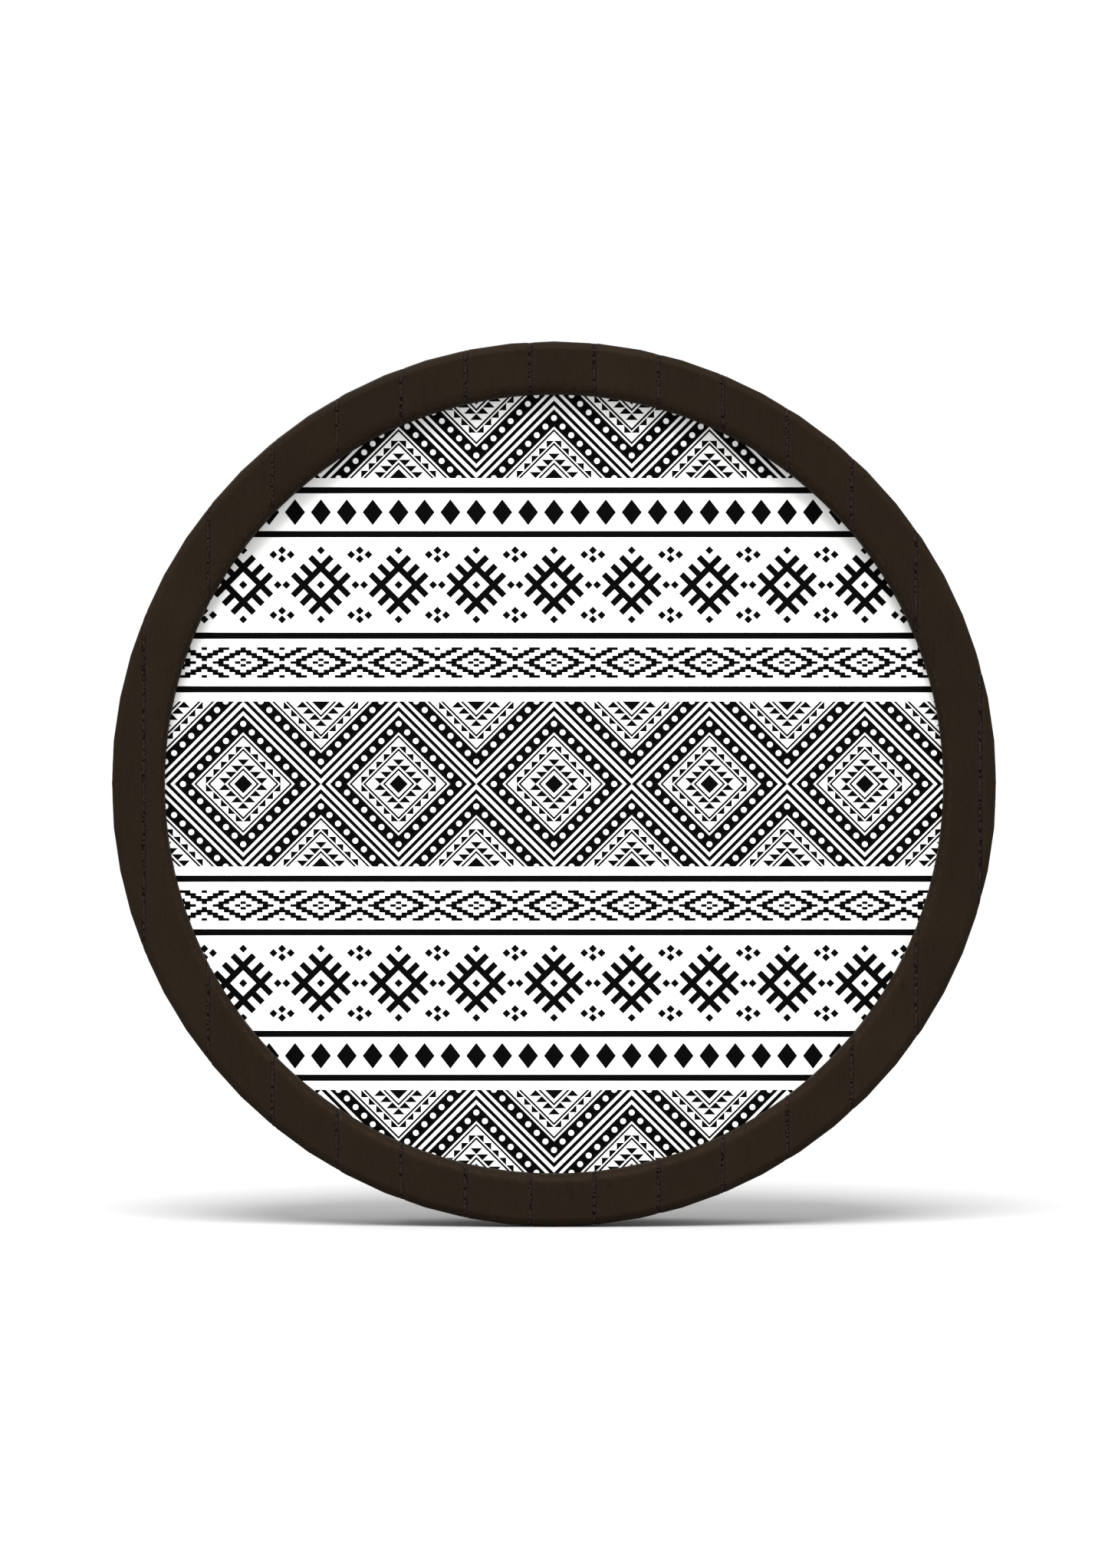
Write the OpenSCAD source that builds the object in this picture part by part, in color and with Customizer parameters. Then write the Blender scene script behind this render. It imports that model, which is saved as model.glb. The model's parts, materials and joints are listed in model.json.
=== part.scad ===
// A tunable frame drum, standing upright and facing -Y.
// Each part is drawn in the drum's own frame, with z towards the player, and upright() stands it up.
// A depth is always counted backwards from the front ring's face.

/* [Front ring] */
// Outer diameter of the front ring, and of the whole drum
ring_d = 460; // [430:1:500]
// Width of the ring's face, from its inner to its outer edge
ring_w = 27.5; // [27:0.5:30]
// Thickness of the boards that the ring is cut from
board_t = 10; // [9:0.5:10.5]
// Spacing of the seams between the boards
board_pitch = 33.4; // [32:0.1:35]
// How far the seam nearest the middle is from the middle
seam_shift = -12.45; // [-15:0.05:-10]
// Width of a seam
seam_w = 2.2; // [1.2:0.1:3]
// How far the filler in a seam is sunk below the boards
filler_sink = 0.5; // [0.2:0.1:1]
// Rounding of the ring's inner front edge
inner_round = 5.6; // [3:0.1:6]
// Rounding of the ring's outer front edge
outer_round = 4.4; // [3:0.1:6]
// Thickness of the plywood ring behind the boards
backing_t = 12; // [11:0.5:12.5]

/* [Shell and head] */
// Depth of the drum, from the ring's face to the shell's rear edge
drum_depth = 78; // [78:1:110]
// Thickness of the shell's wall
shell_t = 7; // [6:0.5:8]
// Number of staves that the shell is glued from
stave_count = 16; // [16:8:32]
// Gap between the boards and the head
head_gap = 4; // [3.5:0.1:6]
// Thickness of the head's film
film_t = 0.4; // [0.2:0.05:0.6]
// Thickness of the ring glued inside the shell's rear edge
stiffener_t = 6.5; // [5:0.5:8]
// Width of that ring, along the drum
stiffener_w = 8; // [6:0.5:8]

/* [Tuning] */
// Number of tension rods
rod_count = 8; // [6:2:8]
// Diameter of a tension rod
rod_d = 6; // [5:0.1:6]
// Running clearance of a rod in its threaded insert, on the radius
thread_gap = 0.05; // [0.02:0.01:0.1]
// Clearance of a rod in its lug, on the radius
lug_gap = 0.3; // [0.2:0.05:0.5]
// Length of a lug's post, along the drum
lug_l = 20; // [16:1:20]

/* [Cross bars and grip] */
// Width of a cross bar
bar_w = 18; // [16:0.5:22]
// Thickness of a cross bar, along the drum
bar_t = 12; // [10:0.5:12]
// Thickness of the leather wound round the bars
leather_t = 2.4; // [1.5:0.1:3]
// Length of the leather on each arm
leather_l = 36; // [25:1:60]
// Diameter of the thumb hole
thumb_d = 22; // [18:0.5:24]

/* [Hidden] */
$fn = 96;
// Facets of a circle that is drum-sized, for previews as fine as its small parts
wide_fn = 480;
wide_r = 60;

// The front ring and the plywood behind it
ring_r = ring_d / 2;
ring_ri = ring_r - ring_w;
backing_r = ring_r - 1;
backing_ri = ring_r - 20;

// The shell and the head
shell_r = ring_r - 21.5;
shell_ri = shell_r - shell_t;
head_d0 = board_t + head_gap;
shell_d0 = head_d0 + film_t;
crown_w = 2;
crown_drop = 2.8;
skirt_ri = shell_r + 0.3;
skirt_r = skirt_ri + film_t;
stave_angle = 360 / stave_count;
glue_line = 0.1;
glue_angle = glue_line / shell_ri * 180 / PI;
stiffener_ri = shell_ri - stiffener_t;
stiffener_d0 = drum_depth - stiffener_w;

// The hoop that the head is gripped in
flesh_ri = skirt_r + 0.6;
flesh_r = flesh_ri + 5.2;
flesh_d0 = board_t + backing_t;
flesh_d1 = flesh_d0 + 5.5;
skirt_d1 = flesh_d1 - 0.5;

// The lugs, the rods and the inserts that the rods screw into
rod_r = rod_d / 2;
rod_pcd_r = ring_r - 8.5;
insert_r = 4.5;
insert_d0 = board_t + 2;
rod_d0 = insert_d0 + 0.5;
gasket_t = 0.8;
lug_ri = shell_r + gasket_t;
lug_post_r = 7;
lug_plate_t = 2.7;
lug_plate_w = 16;
lug_plate_l = 34;
lug_d0 = 40;
lug_d1 = lug_d0 + lug_l;
lug_mid = (lug_d0 + lug_d1) / 2;
lug_screw_pitch = 27;
lug_screw_r = 2;
lug_screw_head_r = 3.6;
lug_screw_head_t = 2.2;
washer_t = 1;
// Flat washers stand this far off the shell's curved wall, so that their edges clear it
washer_seat_r = shell_ri - 0.1;
flange_r = 5.5;
flange_t = 2;
square_w = 6;
square_l = 9;

// The cross bars and what holds them
bar_d1 = stiffener_d0;
bar_d0 = bar_d1 - bar_t;
bar_mid = (bar_d0 + bar_d1) / 2;
bar_end = shell_ri - 3;
bracket_d0 = bar_d0 + 1;
bracket_w = bar_t - 2;
bracket_half = 20;
cheek_t = 2;
cheek_l = 12.5;
bar_screw_r = 1.5;
bar_screw_head_r = 2.9;
bar_screw_head_t = 1.6;
ear_x = bar_w / 2 + 6.5;
leather_gap = 2;

// The thumb hole, with its grommet
thumb_r = thumb_d / 2;
thumb_angle = 315;
thumb_mid = 50;
grommet_wall = 2;
grommet_flange = 4.5;
grommet_t = 2;
grommet_lip = 2.6;

// How far a cutting tool runs past the part it cuts
past = 1;
far = ring_d;

// The seams, and the columns of boards between them
seam_first = ceil((-ring_r - seam_shift) / board_pitch);
seam_last = floor((ring_r - seam_shift) / board_pitch);
seams = [for (k = [seam_first:seam_last]) seam_shift + k * board_pitch];
column_count = len(seams) + 1;
// A column that crosses the head is cut in two by it, and its boards are its top and its bottom one
function column_left(c) = c == 0 ? -far : seams[c - 1];
function column_right(c) = c == column_count - 1 ? far : seams[c];
function column_is_split(c) = column_left(c) > -ring_ri && column_right(c) < ring_ri;
function column_halves(c) = column_is_split(c) ? [1, -1] : [0];
function two_digits(n) = n < 10 ? str("0", n) : str(n);
function half_name(half) = half == 0 ? "" : half > 0 ? "_top" : "_bottom";
function board_name(c, half) = str("board_", two_digits(c + 1), half_name(half));
function rod_name(i) = str("tension_rod_", i + 1);
function rod_angle(i) = (i + 0.5) * 360 / rod_count;

// ---- Placing ----

module upright() {
    rotate([90, 0, 0])
        children();
}

// Puts what stands on z = 0 so that it starts at the depth d and runs towards the front
module at_depth(d) {
    translate([0, 0, drum_depth / 2 - d])
        children();
}

// A round bar between two depths
module disc(r, d0, d1) {
    at_depth(d1)
        cylinder(r = r, h = d1 - d0, $fn = r > wide_r ? wide_fn : $fn);
}

// A ring between two depths
module tube(r, ri, d0, d1) {
    difference() {
        disc(r, d0, d1);
        disc(ri, d0 - past, d1 + past);
    }
}

// A block between two radii and two depths, centred across the x axis
module radial_block(r0, r1, w, d0, d1) {
    at_depth(d1)
        translate([r0, -w / 2, 0])
            cube([r1 - r0, w, d1 - d0]);
}

// A round bar along the x axis, between two radii, at the depth d and to one side by y
module radial_bar(r, r0, r1, d, y = 0) {
    at_depth(d)
        translate([r0, y, 0])
            rotate([0, 90, 0])
                cylinder(r = r, h = r1 - r0);
}

module at_each_rod() {
    for (i = [0:rod_count - 1])
        rotate([0, 0, rod_angle(i)])
            children();
}

module at_each_bar_end() {
    for (a = [0:90:270])
        rotate([0, 0, a])
            children();
}

// ---- Front ring ----

// The ring's section, with rounded front edges, drawn inset from its surface
module ring_section(inset = 0) {
    middle_w = ring_w - inner_round - outer_round;
    translate([ring_ri + inner_round, 0])
        square([middle_w, board_t - inset]);
    rounded_edge(ring_ri + inner_round, inner_round - inset, board_t - inner_round, -1);
    rounded_edge(ring_r - outer_round, outer_round - inset, board_t - outer_round, 1);
}

// One edge of that section: a quarter circle on top of a straight side, towards the left or the right
module rounded_edge(x, r, side_h, direction) {
    translate([x, 0])
        mirror([direction < 0 ? 1 : 0, 0]) {
            square([r, side_h]);
            intersection() {
                translate([0, side_h])
                    circle(r = r);
                translate([0, side_h])
                    square([r, r]);
            }
        }
}

module front_ring(inset = 0) {
    at_depth(board_t)
        rotate_extrude($fn = wide_fn)
            ring_section(inset, $fn = 96);
}

// Everything between two upright planes, above or below the middle or both
module slab(x0, x1, half = 0) {
    at_depth(board_t + past)
        translate([x0, half > 0 ? 0 : -far, 0])
            cube([x1 - x0, half == 0 ? 2 * far : far, board_t + 2 * past]);
}

module board(c, half) {
    color("#32291f")
        upright()
            intersection() {
                front_ring();
                slab(column_left(c) + seam_w / 2, column_right(c) - seam_w / 2, half);
            }
}

module seam_filler() {
    color("#1c130c")
        upright()
            intersection() {
                front_ring(filler_sink);
                union()
                    for (x = seams)
                        slab(x - seam_w / 2, x + seam_w / 2);
            }
}

module backing_ring() {
    color("#6b4a2f")
        upright()
            difference() {
                tube(backing_r, backing_ri, board_t, flesh_d0);
                at_each_rod()
                    translate([rod_pcd_r, 0, 0])
                        disc(insert_r, board_t - past, flesh_d0 + past);
            }
}

module threaded_inserts() {
    color("#b08d4a")
        upright()
            at_each_rod()
                translate([rod_pcd_r, 0, 0])
                    tube(insert_r, rod_r + thread_gap, insert_d0, flesh_d0);
}

module flesh_hoop() {
    color("#8c8f92")
        upright()
            tube(flesh_r, flesh_ri, flesh_d0, flesh_d1);
}

// ---- Head and shell ----

module drum_head() {
    color("#fbfbf8")
        upright()
            disc(skirt_r, head_d0, shell_d0);
}

module head_skirt() {
    color("#f1f1ec")
        upright()
            tube(skirt_r, skirt_ri, shell_d0, skirt_d1);
}

module shell() {
    color("#4a3423")
        upright()
            difference() {
                for (i = [0:stave_count - 1])
                    rotate([0, 0, (i - 0.5) * stave_angle])
                        stave();
                at_each_rod()
                    lug_screw_bars(lug_screw_r, shell_ri - past, shell_r + past);
                at_each_bar_end()
                    ear_screw_bars(bar_screw_r, shell_ri - past, bar_end + 7);
                rotate([0, 0, thumb_angle])
                    radial_bar(thumb_r + grommet_wall, shell_ri - 2 * past, shell_r + past, thumb_mid);
            }
}

// One stave, short of its place by the line of glue to the next one
module stave() {
    at_depth(drum_depth)
        rotate_extrude(angle = stave_angle - glue_angle, $fn = wide_fn)
            shell_section();
}

// The shell's section: a straight wall with a narrow crown that the head bears on
module shell_section() {
    top = drum_depth - shell_d0;
    crown_r = (shell_r + shell_ri) / 2 + crown_w / 2 + 0.3;
    polygon([
        [shell_ri, 0],
        [shell_r, 0],
        [shell_r, top - crown_drop],
        [crown_r, top],
        [crown_r - crown_w, top],
        [shell_ri, top - crown_drop]
    ]);
}

module stiffener_ring() {
    color("#5a4029")
        upright()
            tube(shell_ri, stiffener_ri, stiffener_d0, drum_depth);
}

// ---- Lugs and tension rods ----

module lug_screw_bars(r, r0, r1) {
    for (side = [-1, 1])
        radial_bar(r, r0, r1, lug_mid + side * lug_screw_pitch / 2);
}

module lug_gaskets() {
    color("#1a1a1a")
        upright()
            at_each_rod()
                difference() {
                    intersection() {
                        tube(lug_ri, shell_r, lug_d0 - 8, lug_d1 + 8);
                        radial_block(
                            shell_r - 2, lug_ri + 2, lug_plate_w,
                            lug_mid - lug_plate_l / 2, lug_mid + lug_plate_l / 2
                        );
                    }
                    lug_screw_bars(lug_screw_r, shell_r - 2, lug_ri + 2);
                }
}

module lugs() {
    color("#c4c6c9")
        upright()
            at_each_rod()
                difference() {
                    union() {
                        radial_block(
                            lug_ri - 1, lug_ri + lug_plate_t, lug_plate_w,
                            lug_mid - lug_plate_l / 2, lug_mid + lug_plate_l / 2
                        );
                        radial_block(lug_ri - 1, rod_pcd_r, 2 * lug_post_r, lug_d0, lug_d1);
                        translate([rod_pcd_r, 0, 0])
                            disc(lug_post_r, lug_d0, lug_d1);
                    }
                    disc(lug_ri, lug_d0 - lug_plate_l, lug_d1 + lug_plate_l);
                    translate([rod_pcd_r, 0, 0])
                        disc(rod_r + lug_gap, lug_d0 - past, lug_d1 + past);
                    lug_screw_bars(lug_screw_r, lug_ri - 2, lug_ri + lug_plate_t + past);
                }
}

module lug_screws() {
    head_r0 = washer_seat_r - washer_t;
    color("#a9abad")
        upright()
            at_each_rod() {
                lug_screw_bars(lug_screw_r, head_r0, lug_ri + lug_plate_t - 0.4);
                lug_screw_bars(lug_screw_head_r, head_r0 - lug_screw_head_t, head_r0);
            }
}

module lug_washers() {
    color("#8f9193")
        upright()
            at_each_rod()
                difference() {
                    lug_screw_bars(lug_screw_head_r + 1.2, washer_seat_r - washer_t, washer_seat_r);
                    lug_screw_bars(lug_screw_r, washer_seat_r - 2 * washer_t, shell_ri + past);
                }
}

module rod_washers() {
    color("#8f9193")
        upright()
            at_each_rod()
                translate([rod_pcd_r, 0, 0])
                    tube(lug_post_r - 0.5, rod_r + lug_gap, lug_d1, lug_d1 + washer_t);
}

module tension_rod(i) {
    flange_d0 = lug_d1 + washer_t;
    square_d0 = flange_d0 + flange_t;
    color("#b9bbbe")
        upright()
            rotate([0, 0, rod_angle(i)])
                translate([rod_pcd_r, 0, 0]) {
                    disc(rod_r, rod_d0, flange_d0);
                    disc(flange_r, flange_d0, square_d0);
                    radial_block(-square_w / 2, square_w / 2, square_w, square_d0, square_d0 + square_l);
                }
}

// ---- Cross bars, brackets and grip ----

// A bar along the x axis, halved where the other bar crosses it, between two depths
module cross_bar(halving_d0, halving_d1) {
    difference() {
        radial_block(-bar_end, bar_end, bar_w, bar_d0, bar_d1);
        radial_block(-bar_w / 2, bar_w / 2, bar_w + 2 * past, halving_d0, halving_d1);
        disc(lug_screw_r, bar_d0 + 2, bar_d1 + past);
        for (a = [0, 180])
            rotate([0, 0, a])
                cheek_screw_bars(bar_screw_r, bar_w / 2 - 6, bar_w / 2 + past);
    }
}

// Round bars across a bar's end, from both sides, between two distances from its middle plane
module cheek_screw_bars(r, y0, y1) {
    for (side = [-1, 1])
        at_depth(bar_mid)
            translate([bar_end - cheek_l / 2, side * y0, 0])
                rotate([-side * 90, 0, 0])
                    cylinder(r = r, h = y1 - y0);
}

module ear_screw_bars(r, r0, r1) {
    for (side = [-1, 1])
        radial_bar(r, r0, r1, bar_mid, side * ear_x);
}

module level_bar() {
    color("#6e4e33")
        upright()
            cross_bar(bar_mid, bar_d1 + past);
}

module upright_bar() {
    color("#6e4e33")
        upright()
            rotate([0, 0, 90])
                cross_bar(bar_d0 - past, bar_mid);
}

module bar_brackets() {
    color("#9a9c9f")
        upright()
            at_each_bar_end()
                difference() {
                    union() {
                        intersection() {
                            radial_block(
                                bar_end, shell_ri + past, 2 * bracket_half,
                                bracket_d0, bracket_d0 + bracket_w
                            );
                            disc(shell_ri, bar_d0, bar_d1);
                        }
                        for (side = [-1, 1])
                            translate([0, side * (bar_w + cheek_t) / 2, 0])
                                radial_block(
                                    bar_end - cheek_l, bar_end + past, cheek_t,
                                    bracket_d0, bracket_d0 + bracket_w
                                );
                    }
                    ear_screw_bars(bar_screw_r, bar_end - past, shell_ri + past);
                    cheek_screw_bars(bar_screw_r, bar_w / 2 - past, bar_w / 2 + cheek_t + past);
                }
}

module bracket_screws() {
    color("#a9abad")
        upright()
            at_each_bar_end() {
                ear_screw_bars(bar_screw_r, bar_end, bar_end + 7);
                ear_screw_bars(bar_screw_head_r, bar_end - bar_screw_head_t, bar_end);
            }
}

module bar_screws() {
    cheek_y = bar_w / 2 + cheek_t;
    color("#a9abad")
        upright()
            at_each_bar_end() {
                cheek_screw_bars(bar_screw_r, bar_w / 2 - 6, cheek_y);
                cheek_screw_bars(bar_screw_head_r, cheek_y, cheek_y + bar_screw_head_t);
            }
}

module centre_screw() {
    color("#a9abad")
        upright() {
            disc(lug_screw_r, bar_d0 + 2, bar_d1);
            disc(lug_screw_head_r, bar_d1, bar_d1 + lug_screw_head_t);
        }
}

module grip_wrap() {
    arm_start = bar_w / 2 + leather_gap + leather_t;
    color("#5a2f1c")
        upright()
            at_each_bar_end()
                difference() {
                    radial_block(
                        arm_start, arm_start + leather_l, bar_w + 2 * leather_t,
                        bar_d0 - leather_t, bar_d1 + leather_t
                    );
                    radial_block(
                        arm_start - past, arm_start + leather_l + past, bar_w, bar_d0, bar_d1
                    );
                }
}

// ---- Thumb hole ----

module thumb_grommet() {
    flange_r1 = thumb_r + grommet_wall + grommet_flange;
    color("#171717")
        upright()
            rotate([0, 0, thumb_angle])
                difference() {
                    union() {
                        radial_bar(
                            thumb_r + grommet_wall, shell_ri - grommet_lip, shell_r + grommet_lip, thumb_mid
                        );
                        intersection() {
                            radial_bar(flange_r1, shell_ri - 4, shell_r + 4, thumb_mid);
                            tube(shell_r + grommet_t, shell_r, 0, drum_depth);
                        }
                        intersection() {
                            radial_bar(flange_r1, shell_ri - 4, shell_r + 4, thumb_mid);
                            tube(shell_ri, shell_ri - grommet_t, 0, drum_depth);
                        }
                    }
                    radial_bar(thumb_r, shell_ri - 6, shell_r + 6, thumb_mid);
                }
}

// ---- Nodes ----

for (c = [0:column_count - 1])
    for (half = column_halves(c))
        board(c, half);
for (i = [0:rod_count - 1])
    tension_rod(i);
seam_filler();
backing_ring();
threaded_inserts();
flesh_hoop();
drum_head();
head_skirt();
shell();
stiffener_ring();
lug_gaskets();
lugs();
lug_screws();
lug_washers();
rod_washers();
level_bar();
upright_bar();
bar_brackets();
bracket_screws();
bar_screws();
centre_screw();
grip_wrap();
thumb_grommet();
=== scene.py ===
"""A tunable frame drum, standing upright on a pale studio floor.

Everything is in metres in the row frame: the drum's axis is Y, its head faces -Y and +Z is up.
Radii are measured from that axis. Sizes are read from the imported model's nodes wherever it has them.
"""

import json
import math
from functools import partial

import bmesh
import bpy
from mathutils import Matrix, Vector, noise


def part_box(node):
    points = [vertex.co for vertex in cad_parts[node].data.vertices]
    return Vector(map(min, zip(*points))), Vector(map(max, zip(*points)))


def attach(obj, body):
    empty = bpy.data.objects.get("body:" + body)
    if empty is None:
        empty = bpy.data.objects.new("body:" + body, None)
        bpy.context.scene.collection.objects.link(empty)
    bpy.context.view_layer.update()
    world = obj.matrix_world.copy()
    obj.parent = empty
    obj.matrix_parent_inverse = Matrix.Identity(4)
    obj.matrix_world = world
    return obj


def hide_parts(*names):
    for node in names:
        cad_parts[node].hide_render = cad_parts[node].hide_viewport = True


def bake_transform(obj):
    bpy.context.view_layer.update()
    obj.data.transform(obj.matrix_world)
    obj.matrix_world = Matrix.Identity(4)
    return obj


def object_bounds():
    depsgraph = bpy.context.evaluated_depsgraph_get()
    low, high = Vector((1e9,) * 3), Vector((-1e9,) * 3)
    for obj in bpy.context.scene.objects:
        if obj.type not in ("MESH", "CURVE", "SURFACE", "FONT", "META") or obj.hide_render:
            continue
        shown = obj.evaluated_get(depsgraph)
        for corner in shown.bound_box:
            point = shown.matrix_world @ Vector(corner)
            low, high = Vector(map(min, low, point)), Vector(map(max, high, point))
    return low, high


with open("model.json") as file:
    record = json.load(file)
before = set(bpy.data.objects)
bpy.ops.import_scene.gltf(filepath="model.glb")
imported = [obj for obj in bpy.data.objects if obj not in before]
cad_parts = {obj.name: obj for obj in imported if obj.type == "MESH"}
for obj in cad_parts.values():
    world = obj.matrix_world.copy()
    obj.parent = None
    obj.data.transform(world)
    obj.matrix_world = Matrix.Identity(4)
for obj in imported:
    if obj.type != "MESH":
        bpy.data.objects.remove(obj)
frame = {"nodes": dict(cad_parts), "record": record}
cad_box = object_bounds()

MM = 0.001
TURN = 2 * math.pi
QUARTER = TURN / 4


# ---- Measures taken from the frame ----

def radii(node):
    """The smallest and largest distance of a node's points from the drum's axis."""
    distances = [math.hypot(v.co.x, v.co.z) for v in frame["nodes"][node].data.vertices]
    return min(distances), max(distances)


def depths(node):
    """The node's front and rear, along Y."""
    low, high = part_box(node)
    return low.y, high.y


def reach(node, angle):
    """The nearest and farthest that a node reaches along a direction from the drum's axis."""
    out = Vector((math.cos(angle), 0, math.sin(angle)))
    ahead = [v.co.dot(out) for v in frame["nodes"][node].data.vertices]
    return min(ahead), max(ahead)


def node_names(start):
    return sorted(n for n in frame["nodes"] if n.startswith(start))


def find_seams():
    """The x of each seam, halfway between the boards on its two sides."""
    spans = sorted({(round(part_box(n)[0].x, 5), round(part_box(n)[1].x, 5)) for n in BOARDS})
    return [(a[1] + b[0]) / 2 for a, b in zip(spans, spans[1:])]


BOARDS = node_names("board_")
RODS = node_names("tension_rod_")
RING_RI = min(radii(n)[0] for n in BOARDS)
RING_R = cad_box[1].z
RING_FRONT, BOARD_BACK = depths(BOARDS[len(BOARDS) // 2])
REAR = cad_box[1].y
SHELL_RI, SHELL_R = radii("shell")
SHELL_FRONT = depths("shell")[0]
HEAD_FRONT, HEAD_BACK = depths("drum_head")
SKIRT_RI, SKIRT_R = radii("head_skirt")
SKIRT_END = depths("head_skirt")[1]
STIFFENER_RI, STIFFENER_FRONT = radii("stiffener_ring")[0], depths("stiffener_ring")[0]
BACKING_RI, BACKING_R = radii("backing_ring")
BACKING_BACK = depths("backing_ring")[1]
FLESH_RI, FLESH_R = radii("flesh_hoop")
FLESH_BACK = depths("flesh_hoop")[1]
LUG_FRONT, LUG_BACK = depths("lugs")
WASHER_FRONT, WASHER_BACK = depths("rod_washers")
INSERT_FRONT = depths("threaded_inserts")[0]
BAR_FRONT, BAR_BACK = depths("level_bar")
BAR_MID = (BAR_FRONT + BAR_BACK) / 2
BAR_END, BAR_HALF_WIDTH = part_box("level_bar")[1].x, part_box("level_bar")[1].z
ROD_PLACES = [(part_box(n)[0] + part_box(n)[1]) / 2 for n in RODS]
ROD_PCD_R = math.hypot(ROD_PLACES[0].x, ROD_PLACES[0].z)
ROD_ANGLES = [math.atan2(p.z, p.x) for p in ROD_PLACES]
THUMB_MOUNT = next(m for m in frame["record"]["mounts"] if m["name"] == "thumb_hole")
THUMB_ANGLE = math.atan2(THUMB_MOUNT["pos_m"][2], THUMB_MOUNT["pos_m"][0])
THUMB_Y = THUMB_MOUNT["pos_m"][1]
THUMB_BORE_R = THUMB_MOUNT["dims"]["r_mm"] * MM
THUMB_IN, THUMB_OUT = reach("thumb_grommet", THUMB_ANGLE)
GRIP_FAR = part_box("grip_wrap")[1].x
SEAMS = find_seams()

# Sizes that the nodes' boxes don't give
SEAM_HALF = 1.1 * MM
INNER_ROUND = 5.6 * MM
OUTER_ROUND = 4.4 * MM
THUMB_HOLE_R = 13 * MM
THUMB_LIP_R = 17.5 * MM
INSERT_R = 4.5 * MM
INSERT_BORE = 3.05 * MM
GASKET_R = SHELL_R + 0.8 * MM
PLATE_R = GASKET_R + 2.7 * MM
LUG_PLATE_HALF = 8 * MM
LUG_POST_R = 7 * MM
LUG_HOLE_R = 3.3 * MM
LUG_SCREW_YS = (LUG_FRONT + 3.5 * MM, LUG_BACK - 3.5 * MM)
LUG_WASHER_R = SHELL_RI - 1.1 * MM
ROD_WASHER_HOLE, ROD_WASHER_RIM = 3.3 * MM, 6.5 * MM
LUG_WASHER_HOLE, LUG_WASHER_RIM = 2.05 * MM, 4.8 * MM
THREAD_PITCH = 1 * MM
THREAD_ROOT = 2.62 * MM
THREAD_CREST = 3 * MM
THREAD_LENGTH = 24 * MM
FLANGE_R, FLANGE_EDGE, FLANGE_THICKNESS = 5.5 * MM, 0.3 * MM, 1.97 * MM
WASHER_GAP = 0.03 * MM
SQUARE_HALF = 3 * MM
BRACKET_TIP = BAR_END - 12.5 * MM
BRACKET_HALF = 20 * MM
EAR_SIDE = 15.5 * MM
CHEEK_OUT = BAR_HALF_WIDTH + 2 * MM
CHEEK_SCREW_R = BAR_END - 6.25 * MM
GRIP_NEAR = GRIP_FAR - 36 * MM
DRUM_SEGMENTS = 512


# ---- Mesh helpers ----

def clamp(value):
    return max(0.0, min(1.0, value))


def draw(*place):
    """A value between -1 and 1 that depends only on the place."""
    return noise.noise(Vector(place))


def smooth(obj, angle):
    """Shades an object smooth up to an angle in degrees."""
    obj.data.shade_smooth()
    obj.data.set_sharp_from_angle(angle=math.radians(angle))


def mesh_object(name, bm, material=None, smooth_angle=None):
    """Turns a bmesh into an object."""
    mesh = bpy.data.meshes.new(name)
    bmesh.ops.recalc_face_normals(bm, faces=bm.faces)
    bm.to_mesh(mesh)
    bm.free()
    obj = bpy.data.objects.new(name, mesh)
    bpy.context.scene.collection.objects.link(obj)
    if material:
        mesh.materials.append(material)
    if smooth_angle is not None:
        smooth(obj, smooth_angle)
    return obj


def place(obj, body, slot, *nodes):
    """Rides a piece on a body, and hides the CAD nodes it stands for. The slot argument is not used."""
    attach(obj, body)
    if nodes:
        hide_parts(*nodes)


def fine_piece(node, bm, material, slot, smooth_angle, body="frame"):
    """The detailed piece that stands for one CAD node."""
    place(mesh_object("fine_" + node, bm, material, smooth_angle), body, slot, node)


def rounded(points, radius, steps=4):
    """A closed outline with each corner cut to an arc. A point may carry its own radius as a third value."""
    result = []
    for i, point in enumerate(points):
        r = point[2] if len(point) > 2 else radius
        here = Vector(point[:2])
        before = Vector(points[i - 1][:2]) - here
        after = Vector(points[(i + 1) % len(points)][:2]) - here
        half = before.angle(after) / 2
        if r <= 0 or abs(half - math.pi / 2) < 1e-4:
            result.append(tuple(here))
            continue
        cut_back = min(r / math.tan(half), 0.49 * before.length, 0.49 * after.length)
        r = cut_back * math.tan(half)
        middle = here + (before.normalized() + after.normalized()).normalized() * (r / math.sin(half))
        start = here + before.normalized() * cut_back - middle
        end = here + after.normalized() * cut_back - middle
        sweep = math.atan2(start.cross(end), start.dot(end))
        result += [tuple(middle + Matrix.Rotation(sweep * k / steps, 2) @ start) for k in range(steps + 1)]
    return result


def split_long_edges(outline, longest):
    """Adds points to an outline so that no side is longer than this."""
    result = []
    for i, (r, y) in enumerate(outline):
        nr, ny = outline[(i + 1) % len(outline)]
        count = max(1, math.ceil(math.hypot(nr - r, ny - y) / longest))
        result += [(r + (nr - r) * k / count, y + (ny - y) * k / count) for k in range(count)]
    return result


def rectangle(x0, x1, y0, y1):
    return [(x0, y0), (x1, y0), (x1, y1), (x0, y1)]


def spun(matrix, r, h, angle):
    """A point at a radius, height and angle about a matrix's z axis."""
    return matrix @ Vector((r * math.cos(angle), r * math.sin(angle), h))


def about_drum(r, y, angle):
    return Vector((r * math.cos(angle), y, r * math.sin(angle)))


def skin(bm, rows, round_rows=True, round_columns=True):
    """Faces between rows of vertices. Each flag says if the last row, or column, joins on to the first."""
    count = len(rows[0])
    for a, b in zip(rows, rows[1:] + rows[:1] if round_rows else rows[1:]):
        for j in range(count if round_columns else count - 1):
            k = (j + 1) % count
            bm.faces.new([a[j], a[k], b[k], b[j]])


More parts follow.
